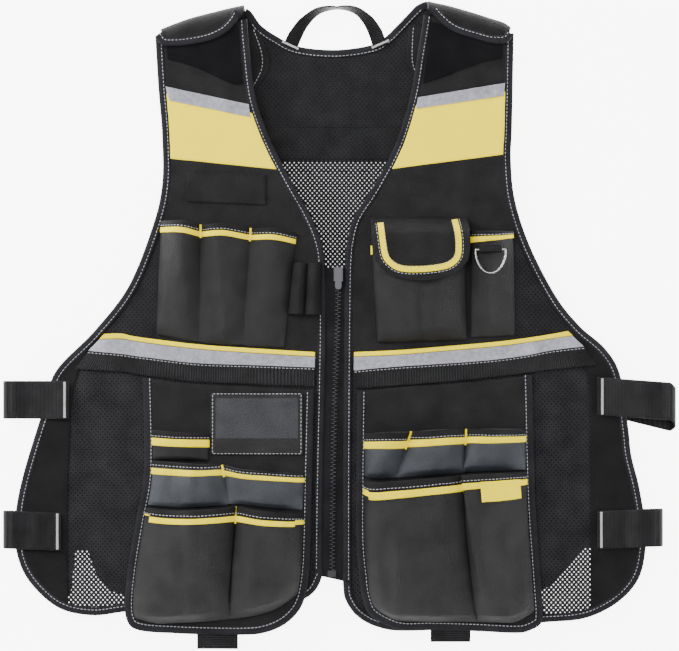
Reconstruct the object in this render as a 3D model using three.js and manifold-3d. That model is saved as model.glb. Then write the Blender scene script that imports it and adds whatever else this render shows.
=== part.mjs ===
// A utility work vest, closed by its zip and lying on its back, neck towards +Y, in millimetres.
// Its right half is on the -X side. Every sheet is a closed solid of its own cloth thickness.
import * as THREE from "three";
import { mergeVertices } from "three/addons/utils/BufferGeometryUtils.js";
import Module from "manifold-3d";

const wasm = await Module();
wasm.setup();

// Driving dimensions
const SPAN = 660; // wing edge to wing edge
const LENGTH = 650; // shoulder fold to hem
const CAVITY = 26; // height of the torso hollow over the middle of the back
const EDGE_RISE = 6; // height of the front over the floor at its outer edges
const BACK_CLOTH = 2;
const CLOTH = 1.6; // front cloth
const TRIM = 1.1; // tapes, webbing and patches sewn on it
const PAD = 2.6; // shoulder flaps
const WALL = 1.3; // pocket walls
const SEAM = 0.5; // space between one layer and the next
const BINDING = 8.5; // width of the edge binding
const BINDING_THICK = 3.2;
const STRAP_WIDTH = 38;
const STRAP_THICK = 1.5;

// The tables below are drawn at this size, in millimetres from the middle of the vest.
const DRAWN_SPAN = 660;
const DRAWN_LENGTH = 650;
const across = (x) => x * SPAN / DRAWN_SPAN;
const up = (y) => y * LENGTH / DRAWN_LENGTH;

// Heights of the layers over the underside of the front
const ON_FRONT = CLOTH + SEAM;
const ON_TRIM = ON_FRONT + TRIM + SEAM;
const PANEL_BASE = BINDING_THICK / 2 + CLOTH / 2 + 0.8; // pocket panels hang clear over the hem binding
const ON_PANEL = PANEL_BASE + CLOTH + 1.6 * SEAM;

const BLACK = 0x3c3b3e;
const BINDING_BLACK = 0x303036;
const MESH_BLACK = 0x2d2d32;
const YELLOW = 0xf2dc50;
const TAPE_YELLOW = 0xf0cf3c;
const SILVER = 0xcdcddc;
const WEBBING = 0x242427;
const NYLON = 0x4a5258;
const METAL = 0xd2cdc8;
const GRIP_BLACK = 0x1c1c20;
const ZIP_BLACK = 0x232327;
const TOOTH_BLACK = 0x1d1d21;
const SLIDER_GREY = 0x2a2a2e;

const vest = new THREE.Group();

function add(name, geometry, colour, roughness = 0.9, metalness = 0) {
  const material = new THREE.MeshStandardMaterial({ color: colour, roughness, metalness });
  const mesh = new THREE.Mesh(geometry, material);
  mesh.name = name;
  vest.add(mesh);
}

const mix = (a, b, t) => a + (b - a) * t;
const mix2 = (a, b, t) => [mix(a[0], b[0], t), mix(a[1], b[1], t)];

// Height of the underside of the front cloth: highest along the zip, with slack folds running down it.
function frontHeight(x, y) {
  const side = x / (1.05 * SPAN / 2);
  const along = y / (LENGTH / 2);
  const dome = Math.max(0, 1 - side * side) * (1 - 0.4 * along * along);
  const slack = 0.9 * Math.sin(x / 19 + y / 41) * dome;
  return EDGE_RISE + (CAVITY - EDGE_RISE + BACK_CLOTH) * dome + slack;
}

// A curve through the rows of a table, from one row number to another; inset moves it to its left.
function edge(rows, from = 0, to = rows.length - 1, inset = 0) {
  const spline = new THREE.SplineCurve(
    rows.map(([x, y]) => new THREE.Vector2(across(x), up(y))),
  );
  return (share) => {
    const t = mix(from, to, share) / (rows.length - 1);
    const here = spline.getPoint(t);
    const along = spline.getTangent(t);
    return [here.x - along.y * inset, here.y + along.x * inset];
  };
}

// A patch of plan between four edges: left and right run from bottom to top, bottom and top bow its ends.
function patch(left, right, bottom, top) {
  const bow = (curve, u) => {
    if (!curve) return [0, 0];
    const chord = mix2(curve(0), curve(1), u);
    return [curve(u)[0] - chord[0], curve(u)[1] - chord[1]];
  };
  return (u, v) => {
    const p = mix2(left(v), right(v), u);
    const low = bow(bottom, u);
    const high = bow(top, u);
    return [p[0] + (1 - v) * low[0] + v * high[0], p[1] + (1 - v) * low[1] + v * high[1]];
  };
}

// The same patch laid on the front, at a height over its underside.
const onFront = (plan, rise = 0, relief = () => 0) => (u, v) => {
  const [x, y] = plan(u, v);
  return new THREE.Vector3(x, y, frontHeight(x, y) + rise + relief(u, v));
};

function normalOf(place, u, v) {
  const e = 1e-3;
  const du = place(Math.min(1, u + e), v).sub(place(Math.max(0, u - e), v));
  const dv = place(u, Math.min(1, v + e)).sub(place(u, Math.max(0, v - e)));
  return du.cross(dv).normalize();
}

// Turns every face of a closed geometry outwards.
function facingOut(geometry) {
  const p = geometry.attributes.position;
  const index = geometry.index.array;
  const corner = (k) => new THREE.Vector3().fromBufferAttribute(p, index[k]);
  let volume = 0;
  for (let k = 0; k < index.length; k += 3) {
    volume += corner(k).dot(corner(k + 1).cross(corner(k + 2)));
  }
  if (volume < 0) {
    for (let k = 0; k < index.length; k += 3) {
      [index[k + 1], index[k + 2]] = [index[k + 2], index[k + 1]];
    }
  }
  geometry.deleteAttribute("normal");
  geometry.deleteAttribute("uv");
  return geometry;
}

// A sheet of cloth: a flat box divided into columns and rows, carried to the surface that place gives.
function sheet(place, columns, rows, thickness, lift = 0) {
  const geometry = new THREE.BoxGeometry(1, 1, 1, columns, rows, 1);
  const p = geometry.attributes.position;
  for (let i = 0; i < p.count; i++) {
    const u = p.getX(i) + 0.5;
    const v = p.getY(i) + 0.5;
    const out = normalOf(place, u, v).multiplyScalar(lift + (p.getZ(i) > 0 ? thickness : 0));
    const at = place(u, v).add(out);
    p.setXYZ(i, at.x, at.y, at.z);
  }
  return facingOut(geometry);
}

// A rounded binding along a plan curve; inset is the distance from the curve to its middle line.
function binding(rows, stretches, height, inset, width = BINDING, thick = BINDING_THICK) {
  const geometry = new THREE.BoxGeometry(1, 1, 1, 2, stretches, 1);
  const p = geometry.attributes.position;
  const line = (t) => {
    const mid = edge(rows, 0, rows.length - 1, inset)(t);
    return new THREE.Vector2(mid[0], mid[1]);
  };
  for (let i = 0; i < p.count; i++) {
    const t = p.getY(i) + 0.5;
    const mid = line(t);
    const along = line(Math.min(1, t + 1e-3)).sub(line(Math.max(0, t - 1e-3))).normalize();
    const side = p.getX(i) * width;
    const crown = p.getX(i) === 0 ? thick / 2 : 0.3 * thick;
    const x = mid.x + along.y * side;
    const y = mid.y - along.x * side;
    p.setXYZ(i, x, y, height(mid.x, mid.y) + Math.sign(p.getZ(i)) * crown);
  }
  return facingOut(geometry);
}

// A pocket wall: cells side by side, each swelling from its creases, deep at the mouth and shallow at the base.
function cells(plan, creases, base, mouthDepth, baseDepth, fullness = 0.75) {
  return (u, v) => {
    const last = creases.length - 2;
    const k = Math.min(last, creases.findLastIndex((c) => u >= c - 1e-9));
    const share = Math.min(1, Math.max(0, (u - creases[k]) / (creases[k + 1] - creases[k])));
    const swell = Math.sin(Math.PI * share) ** fullness;
    const closing = Math.min(1, v / 0.12) ** 0.6;
    const depth = mix(baseDepth, mouthDepth, v ** 0.8) * closing;
    const [x, y] = plan(u, v);
    return new THREE.Vector3(x, y, frontHeight(x, y) + base + depth * swell);
  };
}

// The lower or upper part of a surface, for a tape along it.
const band = (place, from, to) => (u, v) => place(u, mix(from, to, v));
const quad = (bl, br, tl, tr) => patch(edge([bl, tl]), edge([br, tr]));

// Outer edge of each half from the shoulder round the wing to the foot of the zip: across, up
const RIGHT_EDGE = [
  [-180, 289], [-177, 240], [-173, 190], [-173, 140], [-183, 97], [-207, 38], [-241, -6],
  [-279, -45], [-291, -80], [-313, -151], [-321, -195], [-319, -230], [-306, -258],
  [-278, -283], [-244, -291], [-209, -287], [-155, -281], [-85, -279], [-41, -277],
  [-22, -268], [-13, -252],
];
const LEFT_EDGE = [
  [179, 292], [178, 240], [177, 195], [176, 165], [180, 125], [195, 79], [221, 29], [245, -1],
  [271, -24], [286, -51], [294, -103], [297, -130], [305, -162], [311, -200], [311, -230],
  [303, -257], [282, -279], [250, -294], [208, -298], [140, -303], [70, -306], [42, -302],
  [22, -291], [10.5, -275], [8, -260],
];
// Neck and front edge of each half from the shoulder down to the foot of the zip: across, up
const RIGHT_FRONT = [
  [-88, 306], [-85, 272], [-79, 226], [-64, 184], [-44, 145], [-27, 115], [-15, 88],
  [-10, 60], [-9, 0], [-10, -66], [-12, -160], [-13, -246],
];
const LEFT_FRONT = [
  [89, 310], [83, 274], [75, 228], [60, 180], [38, 138], [20, 110], [13, 88],
  [10, 60], [9, 0], [8.5, -66], [8, -160], [8, -257],
];

const clear = BINDING + 0.4; // panels stop short of the binding's inner side
const half = BINDING / 2;
const bindingHeight = (x, y) => frontHeight(x, y) + CLOTH / 2;

// Front panels of the right half, from the shoulder down
const yokeR = patch(edge(RIGHT_EDGE, 1.16, 0, clear), edge(RIGHT_FRONT, 2.27, 0, -clear));
add("front_yoke_right", sheet(onFront(yokeR), 6, 5, CLOTH), BLACK);
const yellowR = patch(edge(RIGHT_EDGE, 2.47, 1.175, clear), edge(RIGHT_FRONT, 3.64, 2.285, -clear));
add("yellow_panel_right", sheet(onFront(yellowR), 7, 5, CLOTH), YELLOW, 0.7);
// Outer side of the chest cloth, hem to top: across, up
const CHEST_SIDE_RIGHT = [
  [-180, -24], [-177.5, 30], [-173.5, 82], [-169.5, 108], [-163.8, 138], [-163.6, 165],
];
const chestR = patch(edge(CHEST_SIDE_RIGHT), edge(RIGHT_FRONT, 8.36, 3.652, -clear));
add("chest_panel_right", sheet(onFront(chestR), 7, 7, CLOTH), BLACK);
const SIDE_RIGHT = [[-180.6, -24], [-178.2, 30], [-175, 74], [-174.2, 84]];
const sideR = patch(edge(RIGHT_EDGE, 6.3, 4.25, clear), edge(SIDE_RIGHT));
add("side_mesh_right", sheet(onFront(sideR), 5, 7, CLOTH), MESH_BLACK);
// Inner side of the wing's edge strip, hem to top, and the foot of the front edge
const STRIP_RIGHT = [[-271, -270], [-271, -229], [-270, -145], [-264, -62], [-247.5, -27]];
const FOOT_RIGHT = [
  [-34, -262], [-26, -252], [-22.4, -240], [-21.4, -160], [-19.4, -66], [-18.4, -26.5],
];
const wingR = patch(edge(STRIP_RIGHT), edge(FOOT_RIGHT), edge(RIGHT_EDGE, 13.3, 18.8, clear));
add("wing_mesh_right", sheet(onFront(wingR), 12, 9, CLOTH), MESH_BLACK);
const STRIP_OUT_RIGHT = [[-272.5, -271], [-272.3, -229], [-271.3, -145], [-266.5, -62], [-268.5, -50]];
const stripR = patch(edge(RIGHT_EDGE, 12.85, 7.1, clear + 0.6), edge(STRIP_OUT_RIGHT));
add("wing_edge_strip_right", sheet(onFront(stripR), 2, 9, CLOTH), BLACK);

// Front panels of the left half
const yokeL = patch(edge(LEFT_FRONT, 2.125, 0, clear), edge(LEFT_EDGE, 1.11, 0, -clear));
add("front_yoke_left", sheet(onFront(yokeL), 6, 5, CLOTH), BLACK);
const yellowL = patch(edge(LEFT_FRONT, 3.48, 2.14, clear), edge(LEFT_EDGE, 2.83, 1.125, -clear));
add("yellow_panel_left", sheet(onFront(yellowL), 7, 5, CLOTH), YELLOW, 0.7);
const CHEST_SIDE_LEFT = [[181, -24], [180, 30], [177.5, 80], [174.5, 104], [170.3, 125], [166.6, 168]];
const chestL = patch(edge(LEFT_FRONT, 8.36, 3.5, clear), edge(CHEST_SIDE_LEFT));
add("chest_panel_left", sheet(onFront(chestL), 7, 7, CLOTH), BLACK);
const SIDE_LEFT = [[181.8, -24], [180.9, 30], [178.8, 76], [178.4, 86]];
const sideL = patch(edge(SIDE_LEFT), edge(LEFT_EDGE, 7.55, 4.85, -clear));
add("side_mesh_left", sheet(onFront(sideL), 5, 7, CLOTH), MESH_BLACK);
const STRIP_LEFT = [[259, -279], [259, -220], [259, -130], [257, -62], [246, -25]];
const FOOT_LEFT = [[30, -284], [20.5, -270], [17.2, -250], [17, -160], [17.6, -66], [18.2, -26.5]];
const wingL = patch(edge(FOOT_LEFT), edge(STRIP_LEFT), edge(LEFT_EDGE, 22, 16.65, -clear));
add("wing_mesh_left", sheet(onFront(wingL), 12, 9, CLOTH), MESH_BLACK);
const STRIP_OUT_LEFT = [[260.4, -278], [260.4, -220], [260.4, -130], [259, -62], [262, -36]];
const stripL = patch(edge(STRIP_OUT_LEFT), edge(LEFT_EDGE, 16.2, 8.3, -clear - 0.9));
add("wing_edge_strip_left", sheet(onFront(stripL), 2, 9, CLOTH), BLACK);

// Bindings round each front half
add("edge_binding_right", binding(RIGHT_EDGE, 36, bindingHeight, half), BINDING_BLACK);
add("edge_binding_left", binding(LEFT_EDGE, 38, bindingHeight, -half), BINDING_BLACK);
add("front_binding_right", binding(RIGHT_FRONT, 20, bindingHeight, -half), BINDING_BLACK);
add("front_binding_left", binding(LEFT_FRONT, 20, bindingHeight, half), BINDING_BLACK);

// The back lies flat on the floor: a double mesh yoke above, a single open mesh below.
const flat = (plan) => (u, v) => new THREE.Vector3(...plan(u, v), 0);
const BACK_SIDE = [
  [-168, 279], [-167, 240], [-165, 190], [-166, 140], [-172, 110], [-192, 55], [-222, 5],
  [-232, -30], [-233, -100], [-229, -160], [-212, -210], [-185, -238],
];
const mirrored = (rows) => rows.map(([x, y]) => [-x, y]).reverse();
const BACK_EDGE = [...BACK_SIDE, [-120, -244], [0, -246], [120, -244], ...mirrored(BACK_SIDE)];
const backLast = BACK_EDGE.length - 1;
add("back_edge_binding", binding(BACK_EDGE, 42, () => BINDING_THICK / 2, half), BINDING_BLACK);
// Neck edge of the back, from the right shoulder to the left: across, up
const BACK_NECK = [
  [-82, 307], [-73, 300], [-59, 290.5], [-37, 280], [1, 276.5], [37, 281.5], [50, 289], [60, 297],
  [74, 309],
];
add("back_neck_binding", binding(BACK_NECK, 14, () => BINDING_THICK / 2, -half), BINDING_BLACK);
const neckInner = edge(BACK_NECK, 0, BACK_NECK.length - 1, -clear - 0.2);
const BACK_COLUMNS = 16; // three under each shoulder, ten along the neck
const BACK_SHOULDER = 3 / BACK_COLUMNS;
function backTop(u) {
  const [right, left] = [[across(-159), up(278)], [across(159), up(281)]];
  if (u < BACK_SHOULDER) return mix2(right, neckInner(0), u / BACK_SHOULDER);
  if (u > 1 - BACK_SHOULDER) return mix2(left, neckInner(1), (1 - u) / BACK_SHOULDER);
  return neckInner((u - BACK_SHOULDER) / (1 - 2 * BACK_SHOULDER));
}
const backUpper = patch(
  edge(BACK_EDGE, 2.5, 0.05, clear), edge(BACK_EDGE, backLast - 2.5, backLast - 0.05, clear), null, backTop,
);
add("back_yoke_mesh", sheet(flat(backUpper), BACK_COLUMNS, 3, BACK_CLOTH), MESH_BLACK);
const inBack = clear + 1.6;
const backLower = patch(
  edge(BACK_EDGE, 10.8, 2.52, inBack), edge(BACK_EDGE, backLast - 10.8, backLast - 2.52, inBack),
  edge(BACK_EDGE, 10.8, backLast - 10.8, inBack),
);
add("back_lower_mesh", sheet(flat(backLower), 4, 16, BACK_CLOTH), MESH_BLACK);

// Tapes, patches and belts sewn on the front
const sewnOn = (plan, relief) => onFront(plan, ON_FRONT, relief);
const PUCKER = 0.35;
const PUCKERS_ALONG = 17;
const pucker = (u) => PUCKER * Math.abs(Math.sin(u * PUCKERS_ALONG));
const tapeR = quad([-163, 224.5], [-93, 209], [-166, 238], [-96, 221.5]);
add("silver_tape_right", sheet(sewnOn(tapeR, pucker), 12, 1, TRIM), SILVER, 0.4, 0.3);
const tapeL = quad([89, 217], [165.5, 228.5], [91.5, 228], [167, 241.5]);
add("silver_tape_left", sheet(sewnOn(tapeL, pucker), 12, 1, TRIM), SILVER, 0.4, 0.3);
const gripR = patch(edge([[-167.5, 266], [-169.5, 286]]), edge([[-92.5, 241], [-97, 300]]),
  edge([[-167.5, 266], [-140, 258], [-105, 242], [-92.5, 241]]));
add("grip_patch_right", sheet(sewnOn(gripR), 6, 4, TRIM), GRIP_BLACK, 1);
const gripL = patch(edge([[88, 241], [96, 303]]), edge([[167, 267], [168, 289]]),
  edge([[88, 241], [104, 247], [148, 263], [167, 267]]));
add("grip_patch_left", sheet(sewnOn(gripL), 6, 4, TRIM), GRIP_BLACK, 1);
const blankPatch = quad([-148, 123], [-69, 120], [-148, 154], [-69, 150]);
add("blank_patch", sheet(sewnOn(blankPatch), 6, 2, TRIM), BLACK);

// Waist lines of each half, zip side last: across, top of yellow, top of silver, top of belt, foot of belt
const WAIST_RIGHT = [
  [-231, -9, -15, -27.5, -45.5], [-214, -8.5, -14, -29.5, -47.5], [-196, -12, -17, -32, -50],
  [-140, -19, -24, -38.5, -57], [-86, -23, -28, -40.5, -59.5], [-20, -27, -32, -43, -62],
];
const WAIST_LEFT = [
  [19, -27, -32, -46, -64], [63, -25, -30, -42, -61], [113, -21, -26, -39, -57],
  [162, -16.6, -21.6, -35, -52], [191, -13, -18, -31, -48.5], [217, -9, -14, -26, -45], [233, -6, -11, -23, -42],
];
// How far each line runs on past the outermost row, to the slanting armhole binding
const WAIST_REACH = [0, 5, 16, 29];
function waistLine(rows, column, end) {
  const line = rows.map((row) => [row[0], row[column]]);
  const far = line[end];
  line[end] = [far[0] + Math.sign(far[0]) * WAIST_REACH[column - 1], far[1] + (column > 2 ? 1 : 0)];
  return line;
}
function waistStrip(rows, from, to, end) {
  const top = waistLine(rows, from, end);
  const low = waistLine(rows, to, end).map(([x, y]) => [x, y + SEAM]);
  const last = top.length - 1;
  return patch(edge([low[0], top[0]]), edge([low[last], top[last]]), edge(low), edge(top));
}
const LEFT_END = WAIST_LEFT.length - 1;
for (const [side, rows, end] of [["right", WAIST_RIGHT, 0], ["left", WAIST_LEFT, LEFT_END]]) {
  const bandPlan = waistStrip(rows, 1, 3, end);
  const beltPlan = waistStrip(rows, 3, 4, end);
  add(`waist_band_${side}`, sheet(sewnOn(bandPlan), 16, 2, TRIM), SILVER, 0.4, 0.3);
  add(`waist_belt_${side}`, sheet(sewnOn(beltPlan), 16, 1, TRIM), WEBBING, 0.7);
}

// Shoulder flaps come over from the back and close on the grip patches.
// One row from the armhole to the neck: across and up of the front edge, then of the fold
const FLAP_RIGHT = [
  [-180, 288, -174, 294], [-173, 280, -167, 297], [-157, 279, -151, 303], [-140, 281, -138, 307],
  [-123, 285, -122, 311], [-109, 292, -108, 314.5], [-100, 301, -97, 317], [-94, 312, -90, 319],
];
const FLAP_LEFT = [
  [96, 313, 92, 324.5], [105, 303, 100, 321], [115, 295, 110, 318.5], [126, 290, 123, 315],
  [141, 285.5, 140, 310], [157, 281.5, 154, 305.5], [172, 282.5, 168, 301], [178, 289, 175, 296],
];
const FLAP_UNDER = 17.3; // how far it runs back under the fold
function flap(rows) {
  const front = edge(rows.map((row) => [row[0], row[1]]));
  const fold = edge(rows.map((row) => [row[2], row[3]]));
  return (u, v) => {
    const [fx, fy] = front(u);
    const [ox, oy] = fold(u);
    const top = frontHeight(ox, oy) + ON_TRIM;
    const low = PAD + 0.2;
    const round = Math.min((top - low) / 2, 0.75 * (oy - fy));
    if (v <= 0.4) {
      const x = mix(fx, ox, v / 0.4);
      const y = mix(fy, oy - round, v / 0.4);
      return new THREE.Vector3(x, y, mix(frontHeight(x, y) + ON_TRIM, top, v / 0.4));
    }
    if (v <= 0.8) {
      const turn = Math.PI * (v - 0.4) / 0.4;
      const z = (top + low + (top - low) * Math.cos(turn)) / 2;
      return new THREE.Vector3(ox, oy - round + round * Math.sin(turn), z);
    }
    return new THREE.Vector3(ox, oy - round - (v - 0.8) / 0.2 * (FLAP_UNDER - round), low);
  };
}
add("shoulder_flap_right", sheet(flap(FLAP_RIGHT), 7, 10, PAD), BLACK);
add("shoulder_flap_left", sheet(flap(FLAP_LEFT), 7, 10, PAD), BLACK);

// Leaf-shaped tabs on the inside of the back, beside the neck
const leafR = patch(
  edge([[-99, 241], [-102, 270], [-97, 296]]), edge([[-80, 236], [-67, 256], [-67, 271], [-78, 297]]),
);
const leafL = patch(
  edge([[80, 248], [73, 262], [72, 271], [74.5, 301]]), edge([[97, 246], [100, 270], [96, 300]]),
);
const LEAF_HEIGHT = BINDING_THICK + 0.25;
const raised = (plan, z) => (u, v) => new THREE.Vector3(...plan(u, v), z);
add("shoulder_tab_right", sheet(raised(leafR, LEAF_HEIGHT), 3, 6, CLOTH), BLACK);
add("shoulder_tab_left", sheet(raised(leafL, LEAF_HEIGHT), 3, 6, CLOTH), BLACK);

// Hanging loop: a webbing arch whose feet lie on the neck edge and whose crown stands on its edge.
// across and up of the inner side, then how far the outer side stands off, then its height
const LOOP = [
  [-37.5, 279, 14.5, 4.9, 4.9], [-34, 287, 14, 4.9, 5.6], [-27, 300, 11, 5, 8], [-15, 312, 6, 5, 13],
  [2, 316.5, 1.2, 4.6, 17], [18, 313, 6, 5, 13], [28, 303, 11, 5, 8], [34, 291, 14, 4.9, 5.6],
  [37, 282, 14.5, 4.9, 4.9],
];
const loopLine = new THREE.CatmullRomCurve3(LOOP.map(([x, y]) => new THREE.Vector3(across(x), up(y), 0)));
function hangLoop(u, v) {
  const at = loopLine.getPoint(v);
  const along = loopLine.getTangent(v);
  const row = Math.min(LOOP.length - 2, Math.floor(v * (LOOP.length - 1)));
  const share = v * (LOOP.length - 1) - row;
  const reach = mix(LOOP[row][2], LOOP[row + 1][2], share) * u;
  const low = mix(LOOP[row][3], LOOP[row + 1][3], share);
  const high = mix(LOOP[row][4], LOOP[row + 1][4], share);
  return new THREE.Vector3(at.x - along.y * reach, at.y + along.x * reach, mix(low, high, u));
}
add("hang_loop", sheet(hangLoop, 2, 20, STRAP_THICK), WEBBING, 0.7);

// Side straps: webbing sewn to the wing, folded round and run back to the inside of the back
// name, side, fold, front seam, up at the fold, up at the seam
const STRAPS = [
  ["strap_upper_right", -1, 333, 266, -75, -75],
  ["strap_lower_right", -1, 333, 274, -205, -207],
  ["strap_upper_left", 1, 342, 262, -77, -71],
  ["strap_lower_left", 1, 329, 262, -203, -205],
];
const STRAP_TAIL = 205;
for (const [name, way, drawnFold, drawnSeam, drawnUpFold, drawnUpSeam] of STRAPS) {
  const [fold, seam, tail] = [drawnFold, drawnSeam, STRAP_TAIL].map(across);
  const [upFold, upSeam] = [drawnUpFold, drawnUpSeam].map(up);
  const place = (u, v) => {
    const low = BINDING_THICK + SEAM + STRAP_THICK;
    const round = 4;
    const topEnd = frontHeight(way * (fold - round), upFold) + BINDING_THICK + 1.2;
    const far = fold - round - STRAP_THICK;
    let x, z;
    if (v <= 0.5) {
      x = mix(seam, far, v / 0.5);
      z = frontHeight(way * x, upFold) + BINDING_THICK + 1.2;
    } else if (v <= 0.75) {
      const turn = Math.PI * (v - 0.5) / 0.25;
      x = far + round * Math.sin(turn);
      z = (topEnd + low + (topEnd - low) * Math.cos(turn)) / 2;
    } else {
      x = mix(far, tail, (v - 0.75) / 0.25);
      z = low;
    }
    const y = mix(upSeam, upFold, (x - seam) / (fold - seam)) + way * (u - 0.5) * -STRAP_WIDTH;
    return new THREE.Vector3(way * x, y, z);
  };
  add(name, sheet(place, 1, 16, STRAP_THICK), WEBBING, 0.7);
}

// Zip: tapes, a chain of teeth, a slider with its pull, and a bottom box
const ZIP_LINE = [[3.4, 62], [2.6, 0], [0, -66], [-2, -160], [-3, -250]];
const zipRow = (offset, from = 0, to = 4) => edge(ZIP_LINE, to, from, offset);
const zipTape = patch(edge(RIGHT_FRONT, 10.98, 7.05, 0.4), edge(LEFT_FRONT, 10.9, 7.05, -0.4));
add("zip_tape", sheet(onFront(zipTape, -0.6), 1, 14, TRIM), ZIP_BLACK);
const chainPlan = patch(zipRow(-3, 0.5, 3.88), zipRow(3, 0.5, 3.88));
add("zip_chain", sheet(onFront(chainPlan, TRIM - 0.6 + 0.4), 1, 14, 1.8), TOOTH_BLACK, 0.4);

function box(name, size, at, colour, roughness, metalness = 0) {
  const geometry = new THREE.BoxGeometry(...size);
  geometry.translate(...at);
  add(name, geometry, colour, roughness, metalness);
}
const zipTop = edge(ZIP_LINE)(0.055);
const sliderZ = frontHeight(...zipTop);
const SLIDER_MID = 4.8;
const SLIDER = [9, 14, 7];
box("zip_slider", SLIDER, [zipTop[0], zipTop[1] - 2, sliderZ + SLIDER_MID], SLIDER_GREY, 0.4, 0.4);
const zipEnd = edge(ZIP_LINE)(0.995);
const BOTTOM_BOX = [8.4, 6.5, 4.2];
const bottomBoxAt = [zipEnd[0] - 0.2, zipEnd[1] + 0.6, frontHeight(...zipEnd) + 3.4];
box("zip_bottom_box", BOTTOM_BOX, bottomBoxAt, TOOTH_BLACK, 0.4);
const PULL = { width: 6.4, length: 20, thick: 1.8, overhang: 0.9 };
const pullAt = [zipTop[0], zipTop[1] + 3, sliderZ + SLIDER_MID + SLIDER[2] / 2 + 0.6 + PULL.thick / 2];
const pullShape = new THREE.Shape();
pullShape.moveTo(-PULL.width / 2, PULL.overhang);
pullShape.lineTo(-PULL.width / 2, -PULL.length + 3);
pullShape.quadraticCurveTo(-PULL.width / 2, -PULL.length, 0, -PULL.length);
pullShape.quadraticCurveTo(PULL.width / 2, -PULL.length, PULL.width / 2, -PULL.length + 3);
pullShape.lineTo(PULL.width / 2, PULL.overhang);
pullShape.closePath();
const pullDepth = { depth: PULL.thick, bevelEnabled: false, curveSegments: 4 };
const pullGeometry = new THREE.ExtrudeGeometry(pullShape, pullDepth);
pullGeometry.translate(pullAt[0], pullAt[1], pullAt[2] - PULL.thick / 2);
add("zip_pull", pullGeometry, SLIDER_GREY, 0.4, 0.4);

// Chest pockets
// Tool pocket of three cells on the right chest
const threeCells = cells(
  patch(
    edge([[-178, -9], [-175.5, 50], [-172.5, 104]]), edge([[-51, -22], [-45, 40], [-39.5, 92]]),
    edge([[-178, -9], [-136, -16.5], [-92, -20], [-51, -22]]),
    edge([
      [-172.5, 104], [-152, 104.5], [-134, 100], [-112, 101.5], [-84, 96.5], [-62, 97], [-39.5, 92],
    ]),
  ),
  [0, 1 / 3, 2 / 3, 1], ON_FRONT, 15, 3,
);
add("chest_tool_pocket", sheet(threeCells, 15, 6, WALL), BLACK);
// Two elastic pen loops, open at both ends, over the front edge
const penPlan = quad([-46, 11], [-15, 10], [-41, 62], [-14, 62]);
const penSwell = (u) => 8.5 * Math.abs(Math.sin(2 * Math.PI * u)) ** 0.7;
add("pen_loops", sheet(onFront(penPlan, BINDING_THICK + 0.2, penSwell), 12, 2, TRIM), WEBBING);

// Flap pocket on the left chest: a full-bodied pocket under a rounded flap
const FLAP_POCKET_DEPTH = 18;
const flapPocket = cells(
  patch(edge([[43, -17], [39, 50], [37.5, 91]]), edge([[131, -14], [129.5, 50], [130.5, 91]])),
  [0, 1], ON_FRONT, FLAP_POCKET_DEPTH, FLAP_POCKET_DEPTH * 0.7, 0.45,
);
add("flap_pocket", sheet(flapPocket, 8, 6, WALL), BLACK);
const flapOutline = patch(
  edge([[70, 45.5], [54, 51], [44.5, 60], [39, 70], [36.5, 86], [36, 105]]),
  edge([[105, 46], [121, 53], [131, 63], [134, 74], [134, 90], [132, 105]]),
  edge([[70, 45.5], [87, 44], [105, 46]]),
);
const FLAP_SEAM = 105;
function pocketFlap(u, v) {
  const [x, y] = flapOutline(u, v);
  const sag = 5 * Math.abs((x - across(85)) / across(49)) ** 4;
  const turn = Math.sqrt(Math.min(1, Math.max(0, (up(FLAP_SEAM) - y) / 7)));
  const rise = (FLAP_POCKET_DEPTH + WALL + 1.2 - sag) * turn;
  return new THREE.Vector3(x, y, frontHeight(x, y) + ON_FRONT + rise);
}
add("pocket_flap", sheet(pocketFlap, 8, 8, CLOTH), BLACK);

// Long narrow pocket beside it
const narrowPocket = cells(
  patch(edge([[136, -12], [135.8, 94]]), edge([[179, -10], [178, 60], [176.5, 94]])),
  [0, 1], ON_FRONT, 13, 3, 0.6,
);
add("narrow_chest_pocket", sheet(narrowPocket, 8, 6, WALL), BLACK);

// Ring tab folded round the straight bar of the D ring, on the narrow pocket
const RING = { width: 30, drop: 22, wire: 2.5 };
const ringAt = [across(154.8), up(75)];
const ringZ = narrowPocket(0.5, 0.82).z + WALL + SEAM + TRIM + RING.wire / 2 + 0.3;
const TAB = { width: 23, tail: 8, clearance: 0.45 };
function ringTab(u, v) {
  const round = RING.wire / 2 + TAB.clearance;
  const x = ringAt[0] - (u - 0.5) * TAB.width;
  if (v < 0.3) return new THREE.Vector3(x, ringAt[1] + TAB.tail * (1 - v / 0.3), ringZ + round);
  if (v > 0.7) return new THREE.Vector3(x, ringAt[1] + TAB.tail * (v - 0.7) / 0.3, ringZ - round);
  const turn = Math.PI * (v - 0.3) / 0.4;
  return new THREE.Vector3(x, ringAt[1] - round * Math.sin(turn), ringZ + round * Math.cos(turn));
}
add("ring_tab", sheet(ringTab, 2, 10, TRIM), WEBBING);

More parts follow.
